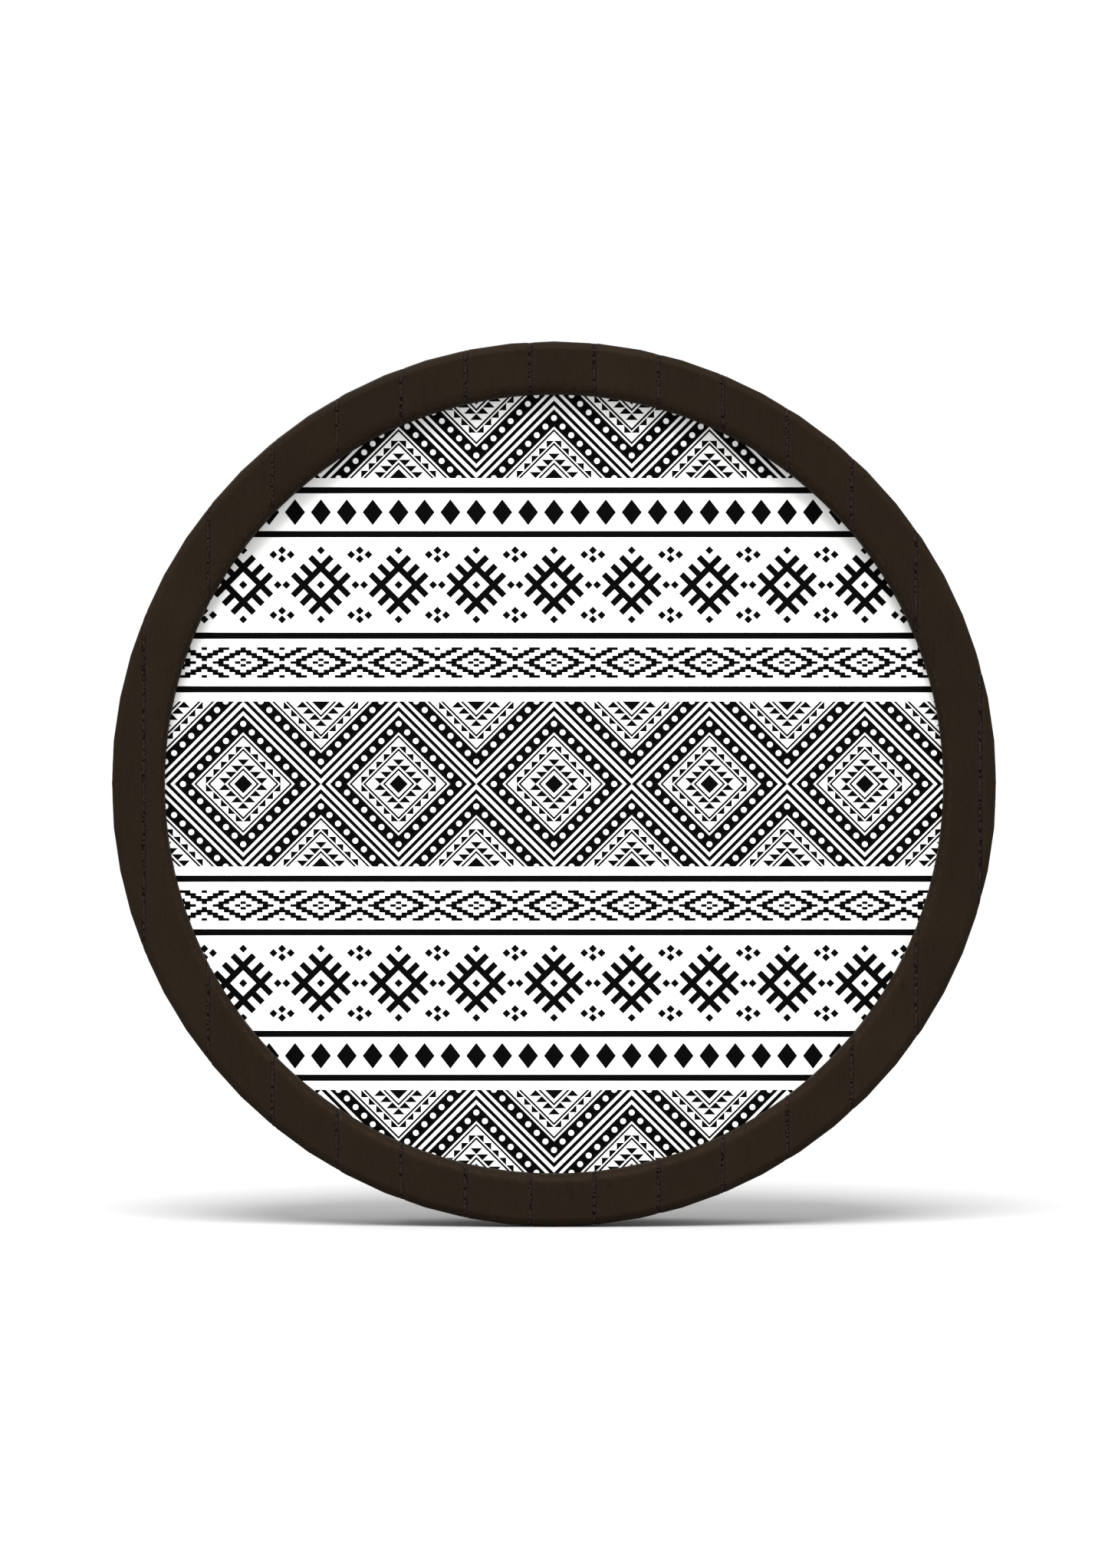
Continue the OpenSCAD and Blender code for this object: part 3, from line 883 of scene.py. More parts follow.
def edge_path(wall_r, rounding, inward):
    """(radius, y, inward radius, inward y) up a wall and round to the face. inward is 1 or -1."""
    top = RING_FRONT + rounding
    wall_steps, arc_steps = 8, 12
    ys = [BOARD_BACK + (top - BOARD_BACK) * k / wall_steps for k in range(wall_steps)]
    points = [(wall_r, y, inward, 0.0) for y in ys]
    for k in range(arc_steps + 1):
        a = QUARTER * k / arc_steps
        lean = a if inward > 0 else QUARTER / 2 + (a - QUARTER / 2) * OUTER_FULLNESS
        points.append((*rounding_point(wall_r, rounding, inward, a), inward * math.cos(lean), math.sin(lean)))
    return points


INNER_EDGE = edge_path(RING_RI, INNER_ROUND, 1)
OUTER_EDGE = edge_path(RING_R, OUTER_ROUND, -1)


def seam_path(x, face_count):
    """(point, inward direction) along the ring's surface in the upright plane at x."""
    def spot(r, y, inward_r, inward_y, side=1):
        z = math.sqrt(max(0.0, r * r - x * x))
        held = faceted(r, math.atan2(z * side, x))
        held_z = side * math.sqrt(max(0.0, held * held - x * x))
        return Vector((x, y, held_z)), Vector((inward_r * x / r, inward_y, inward_r * held_z / r))

    shares = [k / face_count for k in range(1, face_count)]
    if abs(x) < RING_RI:
        path = [spot(*p) for p in INNER_EDGE]
        path += [spot(FACE_IN + (FACE_OUT - FACE_IN) * t, RING_FRONT, 0.0, 1.0) for t in shares]
    else:
        z_face = math.sqrt(FACE_OUT ** 2 - x * x)
        path = [spot(*p, side=-1) for p in OUTER_EDGE]
        path += [(Vector((x, RING_FRONT, z_face * (2 * t - 1))), Vector((0, 1, 0))) for t in shares]
    return path + [spot(*p) for p in reversed(OUTER_EDGE)]


FILLER_HALF = SEAM_HALF + 0.25 * MM
FILLER_DEPTH = 1.9 * MM
FILLER_STEP = 0.5 * MM
LUMP_NOISE, RAGGED_NOISE, PIT_NOISE = 620, 900, 700
FILLER_ACROSS = (-1.0, -0.84, -0.7, -0.56, -0.42, -0.22, 0.0, 0.22, 0.42, 0.56, 0.7, 0.84, 1.0)


def filler_shape(point, t):
    """How deep the filler lies under the boards at a share t of its half width, and how much painted shade it
    gets there: most on its deep borders, wider on one side, and in its pits.
    """
    lumps = noise.noise(point * LUMP_NOISE + Vector((0, 9, 0)))
    ragged = 0.12 * noise.noise(point * RAGGED_NOISE + Vector((4, 0, 0)))
    border = clamp((abs(t + 0.15) + ragged - 0.42) / 0.25)
    pit = clamp((noise.noise(point * PIT_NOISE + Vector((0, 0, 7))) - 0.12) * 5)
    # groove sets both how deep the borders and pits sink and the painted shade laid on them.
    groove = max(0.6 * border, pit * (1 - border))
    return max(0.08, 0.24 - 0.14 * lumps + 0.6 * groove) * MM, groove


def make_filler(material):
    """The strips of filler in the seams: rough, rounded ropes pressed between the boards."""
    bm = bmesh.new()
    dark = bm.verts.layers.float.new("groove")
    for x in SEAMS:
        chord = abs(x) > RING_RI
        length = 2 * math.sqrt(RING_R ** 2 - x * x) if chord else RING_R - RING_RI
        paths = [seam_path(x + t * FILLER_HALF, int(length / FILLER_STEP)) for t in FILLER_ACROSS]
        for side in (1,) if chord else (1, -1):
            mirror = Matrix.Diagonal((1, 1, side))
            rows = []
            for spots in zip(*paths):
                spots = [(mirror @ here, mirror @ inward) for here, inward in spots]
                row = []
                for t, (here, inward) in zip(FILLER_ACROSS, spots):
                    drop, groove = filler_shape(here, t)
                    v = bm.verts.new(here + inward * drop * (0.35 + 0.65 * abs(inward.y)))
                    # The groove layer carries the painted shade for the filler's recesses.
                    v[dark] = groove
                    row.append(v)
                row += [bm.verts.new(here + inward * FILLER_DEPTH) for here, inward in (spots[-1], spots[0])]
                rows.append(row)
            loft(bm, rows)
    fine_piece("seam_filler", bm, material, "seam_filler", 80, "hoop")


# ---- Printed head ----

# The bands repeat over two fifths of the visible radius. Their heights are shares of that pitch.
PITCH = RING_RI * 2 / 5
PRINT_R = RING_RI + 4.5 * MM
PRINT_T = 0.06 * MM
CIRCLE_SIDES = 720
LOZENGE_BAND = 0.531
LINES = (0.609, 0.954, 1.607, 1.889)
LINE_T = 0.04
LINE_PIECES = 24
STEP_BAND, STEP_CELL, STEP_ROWS, STEP_REPEAT = 0.7813, 1 / 28, 11, 14
CROSS_BAND, CROSS_CELL = 1.281, 1 / 36
DIAMOND_BAND, DIAMOND_PITCH, DIAMOND_W, DIAMOND_H = 1.748, 1 / 6, 0.065, 0.0835
OUTER_LOZENGES = 1.967
OUTERMOST_BAND = 2.5
# One lozenge, as the distances |x| + |z| of its frames from its centre
CORE = 0.060
FRAMES = ((0.086, 0.1025), (0.2120, 0.2288), (0.2995, 0.3160), (0.4688, 0.5000))
DOT_BAND, DOTS_A_SIDE, DOT_R, DOT_SIDES = (0.3317, 0.4428), 7, 0.0189, 20
TRIANGLE, TRIANGLE_COUNT = 0.0396, 4
STAIR, STAIR_COUNT = 0.0481, 5
QUADRANTS = ((1, 1), (-1, 1), (-1, -1), (1, -1))


def diamond(x, z, half_w, half_h):
    return [(x + half_w, z), (x, z + half_h), (x - half_w, z), (x, z - half_h)]


def clip(polygon, nx, nz, limit):
    """The part of a convex polygon where nx * x + nz * z is at most limit."""
    kept = []
    for i, (x, z) in enumerate(polygon):
        px, pz = polygon[i - 1]
        here, before = nx * x + nz * z - limit, nx * px + nz * pz - limit
        if (here <= 0) != (before <= 0):
            t = before / (before - here)
            kept.append((px + (x - px) * t, pz + (z - pz) * t))
        if here <= 0:
            kept.append((x, z))
    return kept if len(kept) > 2 else []


def clip_to_disc(polygon, radius):
    """The part of a convex polygon inside a many-sided disc."""
    step = TURN / CIRCLE_SIDES
    limit = radius * math.cos(step / 2)
    if max(math.hypot(x, z) for x, z in polygon) <= limit:
        return polygon
    sides = range(CIRCLE_SIDES)
    if max(x for x, _ in polygon) - min(x for x, _ in polygon) <= radius / 4:
        cx, cz = (sum(values) / len(polygon) for values in zip(*polygon))
        middle = round(math.atan2(cz, cx) / step)
        size = max(math.hypot(x - cx, z - cz) for x, z in polygon)
        spread = int(math.asin(min(1.0, size / radius)) / step) + 3
        sides = range(middle - spread, middle + spread + 1)
    for i in sides:
        polygon = clip(polygon, math.cos(i * step), math.sin(i * step), limit)
        if not polygon:
            return []
    return polygon


def step_rows():
    """Runs of black cells in the stepped band, as (first column, last column, row), in cells."""
    far = int(PRINT_R / (STEP_CELL * PITCH)) + 2
    runs = []
    for row in range(STEP_ROWS):
        level = min(row, STEP_ROWS - 1 - row)
        start = None
        for column in range(-far, far + 2):
            near = min(column % STEP_REPEAT, STEP_REPEAT - column % STEP_REPEAT)
            black = near - level in (-1, 0, 3, 4) or (level, near) in ((0, 7), (4, 0), (5, 1))
            if black and start is None:
                start = column
            if not black and start is not None:
                runs.append((start, column - 1, row))
                start = None
    return runs


def step_band(z):
    w, h = STEP_CELL, STEP_CELL / 2
    low = z - STEP_ROWS * h / 2
    return [
        rectangle((a - 0.5) * w, (b + 0.5) * w, low + row * h, low + (row + 1) * h)
        for a, b, row in step_rows()
    ]


def cross_motif(x, z):
    """Two crossed pairs of bars with barbed ends, on the diagonals."""
    b = CROSS_CELL
    bars = []
    for v0, v1 in ((-5, -3), (3, 5)):
        bars.append((-9, 9, v0, v1))
        bars += [(v0, v1, w0, w1) for w0, w1 in ((-9, -5), (-3, 3), (5, 9))]
    for a0, a1 in ((-9, -5), (5, 9)):
        bars += [(a0, a1, -1, 1), (-1, 1, a0, a1)]
    bars.append((-1, 1, -1, 1))
    polygons = [[(x + (u + v) * b / 2, z + (u - v) * b / 2) for u, v in rectangle(*bar)] for bar in bars]
    loose = [(0, 8), (0, -8), (8, 0), (-8, 0)]
    for row in (7, -7):
        loose += [(9, row - 1), (9, row + 1), (7, row), (11, row)]
    small = b * 0.97
    return polygons + [diamond(x + p * b, z + q * b, small, small) for p, q in loose]


def cell_with_hole(cell, cx, cz):
    """A cell with a round hole in it, as convex quads between the hole and the cell's edge."""
    def ray(angle):
        dx, dz = math.cos(angle), math.sin(angle)
        hits = []
        for i, (x1, z1) in enumerate(cell):
            x0, z0 = cell[i - 1]
            ex, ez = x1 - x0, z1 - z0
            det = dx * ez - dz * ex
            if abs(det) < 1e-12:
                continue
            t = ((x0 - cx) * ez - (z0 - cz) * ex) / det
            s = ((x0 - cx) * dz - (z0 - cz) * dx) / det
            if t > 0 and -1e-9 <= s <= 1 + 1e-9:
                hits.append(t)
        return (cx + dx * min(hits), cz + dz * min(hits))

    angles = {round(TURN * k / DOT_SIDES, 6) for k in range(DOT_SIDES)}
    angles |= {round(math.atan2(z - cz, x - cx) % TURN, 6) for x, z in cell}
    angles = sorted(angles)
    quads = []
    for a, b in zip(angles, angles[1:] + [angles[0] + TURN]):
        if b - a >= 1e-4:
            inner = [(cx + DOT_R * math.cos(k), cz + DOT_R * math.sin(k)) for k in (a, b)]
            quads.append([inner[0], ray(a), ray(b), inner[1]])
    return quads


def dotted_frame():
    """A lozenge's dotted frame: cells with a round hole in each, and a bent cell at each corner."""
    def on_side(side, s, size):
        (ax, az), (bx, bz) = corners[side % 4], corners[(side + 1) % 4]
        return ((ax + (bx - ax) * s) * size, (az + (bz - az) * s) * size)

    corners = [(1, 0), (0, 1), (-1, 0), (0, -1)]
    low, high = DOT_BAND
    half = 0.5 / DOTS_A_SIDE
    polygons = []
    for side in range(4):
        for k in range(DOTS_A_SIDE):
            s = k / DOTS_A_SIDE
            a, b = s - half, s + half
            spots = [(side, a, low), (side, a, high), (side, b, high), (side, b, low)]
            if not k:
                spots[:2] = [(side - 1, 1 - half, low), (side - 1, 1 - half, high), (side, 0, high)]
                spots.append((side, 0, low))
            cell = [on_side(*spot) for spot in spots]
            polygons += cell_with_hole(cell, *on_side(side, s, (low + high) / 2))
    return polygons


def lozenge():
    """One lozenge of nested frames, in shares of the pitch, about its own centre."""
    polygons = [diamond(0, 0, CORE, CORE)]
    for a, b in FRAMES:
        polygons += [[(a * sx, 0), (b * sx, 0), (0, b * sz), (0, a * sz)] for sx, sz in QUADRANTS]
    t = TRIANGLE
    for sz in (1, -1):
        for k in range(TRIANGLE_COUNT):
            base = (TRIANGLE_COUNT - k) * t
            for x in {k * t, -k * t}:
                polygons.append([(x - t, base * sz), (x + t, base * sz), (x, (base - t) * sz)])
    for sx, sz in QUADRANTS:
        for k in range(STAIR_COUNT):
            near, far = k * STAIR * sx, (STAIR_COUNT - k) * STAIR * sz
            step = near + STAIR * sx
            polygons.append([(near, far), (step, far), (step, far - STAIR * sz)])
    return polygons + dotted_frame()


def moved(polygons, x, z):
    return [[(px + x, pz + z) for px, pz in polygon] for polygon in polygons]


def print_polygons():
    """Every black polygon of the print, in shares of the pitch, before it is cut to the head."""
    far = PRINT_R / PITCH
    count = int(far) + 2
    one = lozenge()
    polygons = []
    for k in range(-count, count + 1):
        polygons += moved(one, k, 0)
        for sign in (1, -1):
            inner = moved(one, k + 0.5, sign * LOZENGE_BAND)
            polygons += filter(None, (clip(p, 0, sign, LOZENGE_BAND) for p in inner))
            outer = moved(one, k, sign * OUTER_LOZENGES)
            polygons += filter(None, (clip(p, 0, -sign, -OUTER_LOZENGES) for p in outer))
            polygons += moved(one, k + 0.5, sign * OUTERMOST_BAND)
    piece = far / LINE_PIECES
    for sign in (1, -1):
        for z in LINES:
            low = sign * z - LINE_T / 2
            for k in range(-LINE_PIECES, LINE_PIECES):
                polygons.append(rectangle(k * piece, (k + 1) * piece, low, low + LINE_T))
        polygons += step_band(sign * STEP_BAND)
        for k in range(-2 * count, 2 * count + 1):
            polygons += cross_motif(k / 2, sign * CROSS_BAND)
        for k in range(-6 * count, 6 * count + 1):
            polygons.append(diamond(k * DIAMOND_PITCH, sign * DIAMOND_BAND, DIAMOND_W, DIAMOND_H))
    return polygons


def make_print(material):
    """The print as a very thin plate of ink on the film."""
    bm = bmesh.new()
    for polygon in print_polygons():
        inside = clip_to_disc([(x * PITCH, z * PITCH) for x, z in polygon], PRINT_R)
        if inside:
            bm.faces.new([bm.verts.new((x, HEAD_FRONT, z)) for x, z in inside])
    bmesh.ops.remove_doubles(bm, verts=bm.verts, dist=2e-6)
    bmesh.ops.dissolve_degenerate(bm, edges=bm.edges, dist=1e-6)
    grown = bmesh.ops.extrude_face_region(bm, geom=list(bm.faces), use_keep_orig=True)
    for item in grown["geom"]:
        if isinstance(item, bmesh.types.BMVert):
            item.co.y = HEAD_FRONT - PRINT_T
    place(mesh_object("head_print", bm, material), "frame", "ink")


# ---- Head film ----

def make_film(material):
    """The film, rolled over the shell's edge and held by the flesh hoop. Its skirt follows the hoop."""
    roll = 2.4 * MM
    fall = SKIRT_END - HEAD_FRONT - roll
    rows = 12

    def film_side(face_y, skirt_r, bend):
        """(radius, y) on one side of the film, from the axis round its bend and down its skirt."""
        points = [(r * MM, face_y) for r in (0, 40, 80, 120, 160, 190)]
        for a in (QUARTER * k / 8 for k in range(9)):
            points.append((skirt_r - bend + bend * math.sin(a), face_y + bend * (1 - math.cos(a))))
        return points + [(skirt_r, HEAD_FRONT + roll + fall * k / rows) for k in range(1, rows + 1)]

    outer = film_side(HEAD_FRONT, SKIRT_R, roll)
    inner = film_side(HEAD_BACK, SKIRT_RI, roll - (HEAD_BACK - HEAD_FRONT))
    bm = bmesh.new()
    solid_lathe(bm, outer + inner[::-1], DRUM_SEGMENTS, partial(spun, axial_frame()))
    film = mesh_object("fine_drum_head", bm, material, 40)
    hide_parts("drum_head", "head_skirt")
    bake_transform(film)


# ---- Rings and shell ----

STAVES = 16
# (distance along the wall from a stave's end, depth below the wall), in millimetres
STAVE_EDGE = ((0.0, 0.34), (0.10, 0.16), (0.26, 0.05), (0.5, 0.0))
STAVE_GAP = 0.03 * MM


def make_backing_ring(material):
    """The plywood ring, with a clean hole for each insert."""
    outline = rounded(rectangle(BACKING_RI, BACKING_R, BOARD_BACK, BACKING_BACK), 0.8 * MM, 3)
    ring = mesh_object("fine_backing_ring", drum_ring(outline), material)
    holes = bmesh.new()
    for matrix in ROD_FRAMES:
        cylinder(holes, INSERT_R, BOARD_BACK - 2 * MM, BACKING_BACK + 2 * MM, 48, matrix)
    boolean(ring, mesh_object("holes", holes))
    smooth(ring, 35)
    place(ring, "hoop", "plywood", "backing_ring")


def make_inserts(material):
    """Brass inserts with a chamfered mouth and two slots for the tool that turned them in."""
    outline = rounded(rectangle(INSERT_BORE, INSERT_R, INSERT_FRONT, BACKING_BACK), 0.3 * MM, 2)
    inserts = mesh_object("fine_threaded_inserts", turned_rings(ROD_FRAMES, outline, 48), material)
    slots = bmesh.new()
    slot = rectangle(-6 * MM, 6 * MM, -0.5 * MM, 0.5 * MM)
    low, high = BACKING_BACK - 1.2 * MM, BACKING_BACK + 1.2 * MM
    for p, angle in zip(ROD_PLACES, ROD_ANGLES):
        prism(slots, slot, low, high, axial_frame(p.x, p.z, turn=angle))
    boolean(inserts, mesh_object("slots", slots))
    smooth(inserts, 35)
    place(inserts, "hoop", "brass", "threaded_inserts")


def make_flesh_hoop(material):
    """The steel hoop that grips the film's skirt: a rolled bar with a bead round each edge."""
    mid = (BACKING_BACK + FLESH_BACK) / 2
    dip, bead = 0.5 * MM, 0.9 * MM
    outline = rounded([
        (FLESH_RI, BACKING_BACK), (FLESH_R, BACKING_BACK), (FLESH_R, mid - bead), (FLESH_R - dip, mid),
        (FLESH_R, mid + bead), (FLESH_R, FLESH_BACK), (FLESH_RI, FLESH_BACK),
    ], bead, 4)
    fine_piece("flesh_hoop", drum_ring(outline), material, "steel", 50, "hoop")


def shell_section():
    """The shell's section: a rounded bearing edge in front, and eased corners behind."""
    crown = 2.8 * MM
    return rounded([
        (SHELL_RI, SHELL_FRONT + crown, 2 * MM), (SHELL_RI + crown, SHELL_FRONT, 1.6 * MM),
        (SHELL_R - crown + 0.6 * MM, SHELL_FRONT, 1.6 * MM), (SHELL_R, SHELL_FRONT + crown, 2 * MM),
        (SHELL_R, REAR, 0.7 * MM), (SHELL_RI, REAR, 0.7 * MM),
    ], 1 * MM, 5)


def make_shell(material):
    """Sixteen staves with eased edges, so each glue line shows as a fine groove."""
    outline = split_long_edges(shell_section(), 6 * MM)
    middle = (SHELL_RI + SHELL_R) / 2
    half = TURN / STAVES / 2
    columns = [(-half + (STAVE_GAP + along * MM) / SHELL_R, drop * MM) for along, drop in STAVE_EDGE]
    columns += [(half * (k / 12 - 1), 0.0) for k in range(1, 24)]
    columns += [(-a, drop) for a, drop in reversed(columns[:len(STAVE_EDGE)])]
    bm = bmesh.new()
    tone = bm.verts.layers.float.new("board_tone")
    for stave in range(STAVES):
        value = clamp(0.5 + 0.5 * draw(stave * 3.3, 1.7, 8.1))
        rows = []
        for a, drop in columns:
            row = []
            for r, y in outline:
                inward = drop * (1 if r < middle else -1)
                sag = drop if y > REAR - MM else 0.0
                v = bm.verts.new(about_drum(r + inward, y - sag, stave * TURN / STAVES + a))
                v[tone] = value
                row.append(v)
            rows.append(row)
        loft(bm, rows)
    shell = mesh_object("fine_shell", bm, material)
    hole = bmesh.new()
    cylinder(hole, THUMB_HOLE_R, SHELL_RI - 8 * MM, SHELL_R + 8 * MM, 72, THUMB_FRAME)
    boolean(shell, mesh_object("hole", hole))
    smooth(shell, 30)
    place(shell, "frame", "shell_wood", "shell")


def make_stiffener(material):
    """The ring inside the shell's rear edge."""
    outline = rounded([
        (STIFFENER_RI, STIFFENER_FRONT, 2 * MM), (SHELL_RI, STIFFENER_FRONT, 0.3 * MM),
        (SHELL_RI, REAR, 0.3 * MM), (STIFFENER_RI, REAR, 2 * MM),
    ], 1 * MM, 5)
    bm = drum_ring(outline)
    set_tone(bm, 0.35)
    fine_piece("stiffener_ring", bm, material, "shell_wood", 35)


def make_grommet(material):
    """A rubber bush in the thumb hole. Its two lips lie along the curved wall."""
    bore, low, high = THUMB_BORE_R, THUMB_IN, THUMB_OUT
    lip = 2.3 * MM
    outline = rounded([
        (bore, low, 1.2 * MM), (THUMB_LIP_R, low, 0.9 * MM), (THUMB_LIP_R, low + lip, 0.3 * MM),
        (THUMB_HOLE_R, low + lip, 0.3 * MM), (THUMB_HOLE_R, high - lip, 0.3 * MM),
        (THUMB_LIP_R, high - lip, 0.3 * MM), (THUMB_LIP_R, high, 0.9 * MM), (bore, high, 1.2 * MM),
    ], 1 * MM, 5)

    def wrapped(r, h, a):
        across = r * math.cos(a)
        wall = SHELL_RI if h < (low + high) / 2 else SHELL_R
        drop = wall - math.sqrt(wall * wall - across * across)
        return THUMB_FRAME @ Vector((across, r * math.sin(a), h - drop))

    bm = bmesh.new()
    lathe(bm, split_long_edges(outline, 2 * MM), 72, wrapped)
    fine_piece("thumb_grommet", bm, material, "rubber", 40)


# ---- Tuning hardware ----

def lug_outline():
    """The lug's side view as (y, radius): a plate with a post that swells out of it.
    Its flat top clears the post's round end, which the plan gives."""
    front, back = LUG_FRONT, LUG_BACK
    post_front, post_back = LUG_FRONT + 7 * MM, WASHER_FRONT
    plate, top = PLATE_R, ROD_PCD_R + LUG_POST_R + MM
    flare = 2.6 * MM
    return rounded([
        (front, GASKET_R, 0.2 * MM), (back, GASKET_R, 0.2 * MM), (back, plate, 1.2 * MM),
        (post_back + flare, plate, 0.0), (post_back, plate + flare, 3 * MM), (post_back, top, 0.0),
        (post_front, top, 0.0), (post_front, plate + flare, 3 * MM), (post_front - flare, plate, 0.0),
        (front, plate, 1.2 * MM),
    ], 1 * MM, 4)


def lug_plan():
    """The lug seen along the drum, as (across, radius): straight sides and a round end about the rod."""
    r, foot = LUG_POST_R, GASKET_R - MM
    angles = [math.pi * k / 24 for k in range(25)]
    return [(-r, foot), (r, foot)] + [(r * math.cos(a), ROD_PCD_R + r * math.sin(a)) for a in angles]


def make_lugs(material):
    """Cast lugs: one is made from its side view and its plan, drilled, and copied round the drum."""
    low, high = LUG_FRONT - MM, LUG_BACK + MM
    plate = rectangle(-LUG_PLATE_HALF, LUG_PLATE_HALF, GASKET_R - MM, PLATE_R)
    lug = prism_object(lug_outline(), -LUG_PLATE_HALF, LUG_PLATE_HALF, SIDE_VIEW)
    mask = prism_object(lug_plan(), low, high, PLAN_VIEW)
    boolean(mask, prism_object(plate, low, high, PLAN_VIEW), "UNION")
    boolean(lug, mask, "INTERSECT")
    drill = bmesh.new()
    cylinder(drill, LUG_HOLE_R, low, high, 40, axial_frame(z=ROD_PCD_R))
    boolean(lug, mesh_object("drill", drill))
    single = bmesh.new()
    single.from_mesh(lug.data)
    bpy.data.objects.remove(lug)
    bmesh.ops.remove_doubles(single, verts=single.verts, dist=1e-7)
    single.normal_update()
    edges = [e for e in single.edges if e.is_manifold and e.calc_face_angle_signed(0) > math.radians(50)]
    bmesh.ops.bevel(
        single, geom=edges, offset=0.7 * MM, segments=3, affect="EDGES", profile=0.5, clamp_overlap=True
    )
    bmesh.ops.remove_doubles(single, verts=single.verts, dist=1e-6)
    bmesh.ops.delete(single, geom=[e for e in single.edges if e.is_wire], context="EDGES")
    bm = bmesh.new()
    for angle in ROD_ANGLES:
        one = single.copy()
        bmesh.ops.transform(one, matrix=radial_frame(angle, 0, 0), verts=one.verts)
        join_into(bm, one)
    single.free()
    fine_piece("lugs", bm, material, "chrome", 35)


def make_gaskets(material):
    """Thin pads that fill the space between each flat plate and the round shell."""
    half_length = (LUG_BACK - LUG_FRONT) / 2
    y = (LUG_FRONT + LUG_BACK) / 2
    outline = rounded(rectangle(-LUG_PLATE_HALF, LUG_PLATE_HALF, -half_length, half_length), 1.2 * MM, 4)
    bm = bmesh.new()
    for angle in ROD_ANGLES:
        prism(bm, outline, SHELL_R - 0.3 * MM, GASKET_R, radial_frame(angle, 0, y), 0.15 * MM)
    fine_piece("lug_gaskets", bm, material, "gasket", 35)


def make_washers(material):
    """Round washers under the rods' flanges, and under the lug screws inside the shell."""
    edge = 0.3 * MM
    outline = rounded(rectangle(ROD_WASHER_HOLE, ROD_WASHER_RIM, WASHER_FRONT, WASHER_BACK), edge, 3)
    fine_piece("rod_washers", turned_rings(ROD_FRAMES, outline, 48), material, "steel", 35)
    outline = rectangle(LUG_WASHER_HOLE, LUG_WASHER_RIM, LUG_WASHER_R, SHELL_RI + 0.1 * MM)
    matrices = [radial_frame(angle, 0, y) for angle in ROD_ANGLES for y in LUG_SCREW_YS]
    fine_piece("lug_washers", turned_rings(matrices, rounded(outline, edge, 3), 40), material, "steel", 35)


def thread_lift(y, angle, front):
    """How far the rod's surface stands above the thread's root. The helix is right-handed."""
    turns = ((y - front) / THREAD_PITCH - angle / TURN) % 1.0
    ridge = clamp(1.4 * (1 - abs(2 * turns - 1)) - 0.2)
    ends = min(1.0, (y - front - 0.8 * MM) / THREAD_PITCH, (front + THREAD_LENGTH - y) / THREAD_PITCH)
    return (THREAD_CREST - THREAD_ROOT) * ridge * max(0.0, ends)


def make_rod(node, body, matrix, material):
    """A tension rod: a rolled thread, a plain shank, a flange and a square head."""
    front, back = depths(node)
    rows_a_pitch = 7
    rows = int(THREAD_LENGTH / THREAD_PITCH * rows_a_pitch)
    flange_front = WASHER_BACK + WASHER_GAP
    flange_back = flange_front + FLANGE_THICKNESS
    shank_r = THREAD_CREST - 0.05 * MM
    outline = [(THREAD_ROOT - 0.5 * MM, front), (THREAD_ROOT, front + 0.5 * MM)]
    outline += [(THREAD_ROOT, front + 0.6 * MM + THREAD_PITCH / rows_a_pitch * k) for k in range(rows)]
    outline += [
        (shank_r, front + THREAD_LENGTH + MM), (shank_r, flange_front),
        (FLANGE_R - FLANGE_EDGE, flange_front), (FLANGE_R, flange_front + FLANGE_EDGE),
        (FLANGE_R, flange_back - 0.7 * MM), (FLANGE_R - FLANGE_EDGE, flange_back - FLANGE_EDGE),
        (3.9 * MM, flange_back),
    ]

    def threaded(r, y, angle):
        lift = thread_lift(y, angle, front) if r == THREAD_ROOT else 0.0
        return spun(matrix, r + lift, y, angle)

    bm = bmesh.new()
    columns = turned_rows(bm, outline, 32, threaded)
    skin(bm, columns, round_columns=False)
    bm.faces.new([column[0] for column in columns])
    bm.faces.new([column[-1] for column in reversed(columns)])
    # (share of the square's size, height) up the neck and round the crown
    square = rounded(rectangle(-SQUARE_HALF, SQUARE_HALF, -SQUARE_HALF, SQUARE_HALF), 0.5 * MM, 3)
    neck = [(0.86, flange_back - 0.4 * MM), (0.86, flange_back + 0.8 * MM), (1.0, flange_back + 1.6 * MM)]
    crown = [(1.0, back - 1.3 * MM), (0.97, back - 0.8 * MM), (0.88, back - 0.3 * MM), (0.72, back)]
    loft(bm, [[bm.verts.new(matrix @ Vector((x * k, y * k, h))) for x, y in square] for k, h in neck + crown])
    fine_piece(node, bm, material, "chrome", 50, body)


def screw(bm, matrix, head_r, head_h, shank_r, length):
    """A domed screw with a hexagon socket. The matrix's z points out of its head, from under the head."""
    socket = head_r * 0.46
    socket_floor = head_h * 0.38

    def dome(a):
        return head_r * math.sin(a), head_h * (0.35 + 0.65 * math.cos(a))

    def hexagonal(r, h, angle):
        if r == socket:
            r *= math.cos(math.pi / 6) / math.cos(angle % (TURN / 6) - TURN / 12)
        return spun(matrix, r, h, angle)

    edge = 0.15 * MM
    outline = [(0, -length), (shank_r, -length), (shank_r, 0.0), (head_r - edge, 0.0), (head_r, edge)]
    outline += [dome(QUARTER * k / 7) for k in range(7, 2, -1)]
    outline += [dome(math.asin(1.2 * socket / head_r)), (socket, head_h - 0.12 * MM)]
    outline += [(socket, socket_floor), (0, socket_floor)]
    solid_lathe(bm, outline, 36, hexagonal)


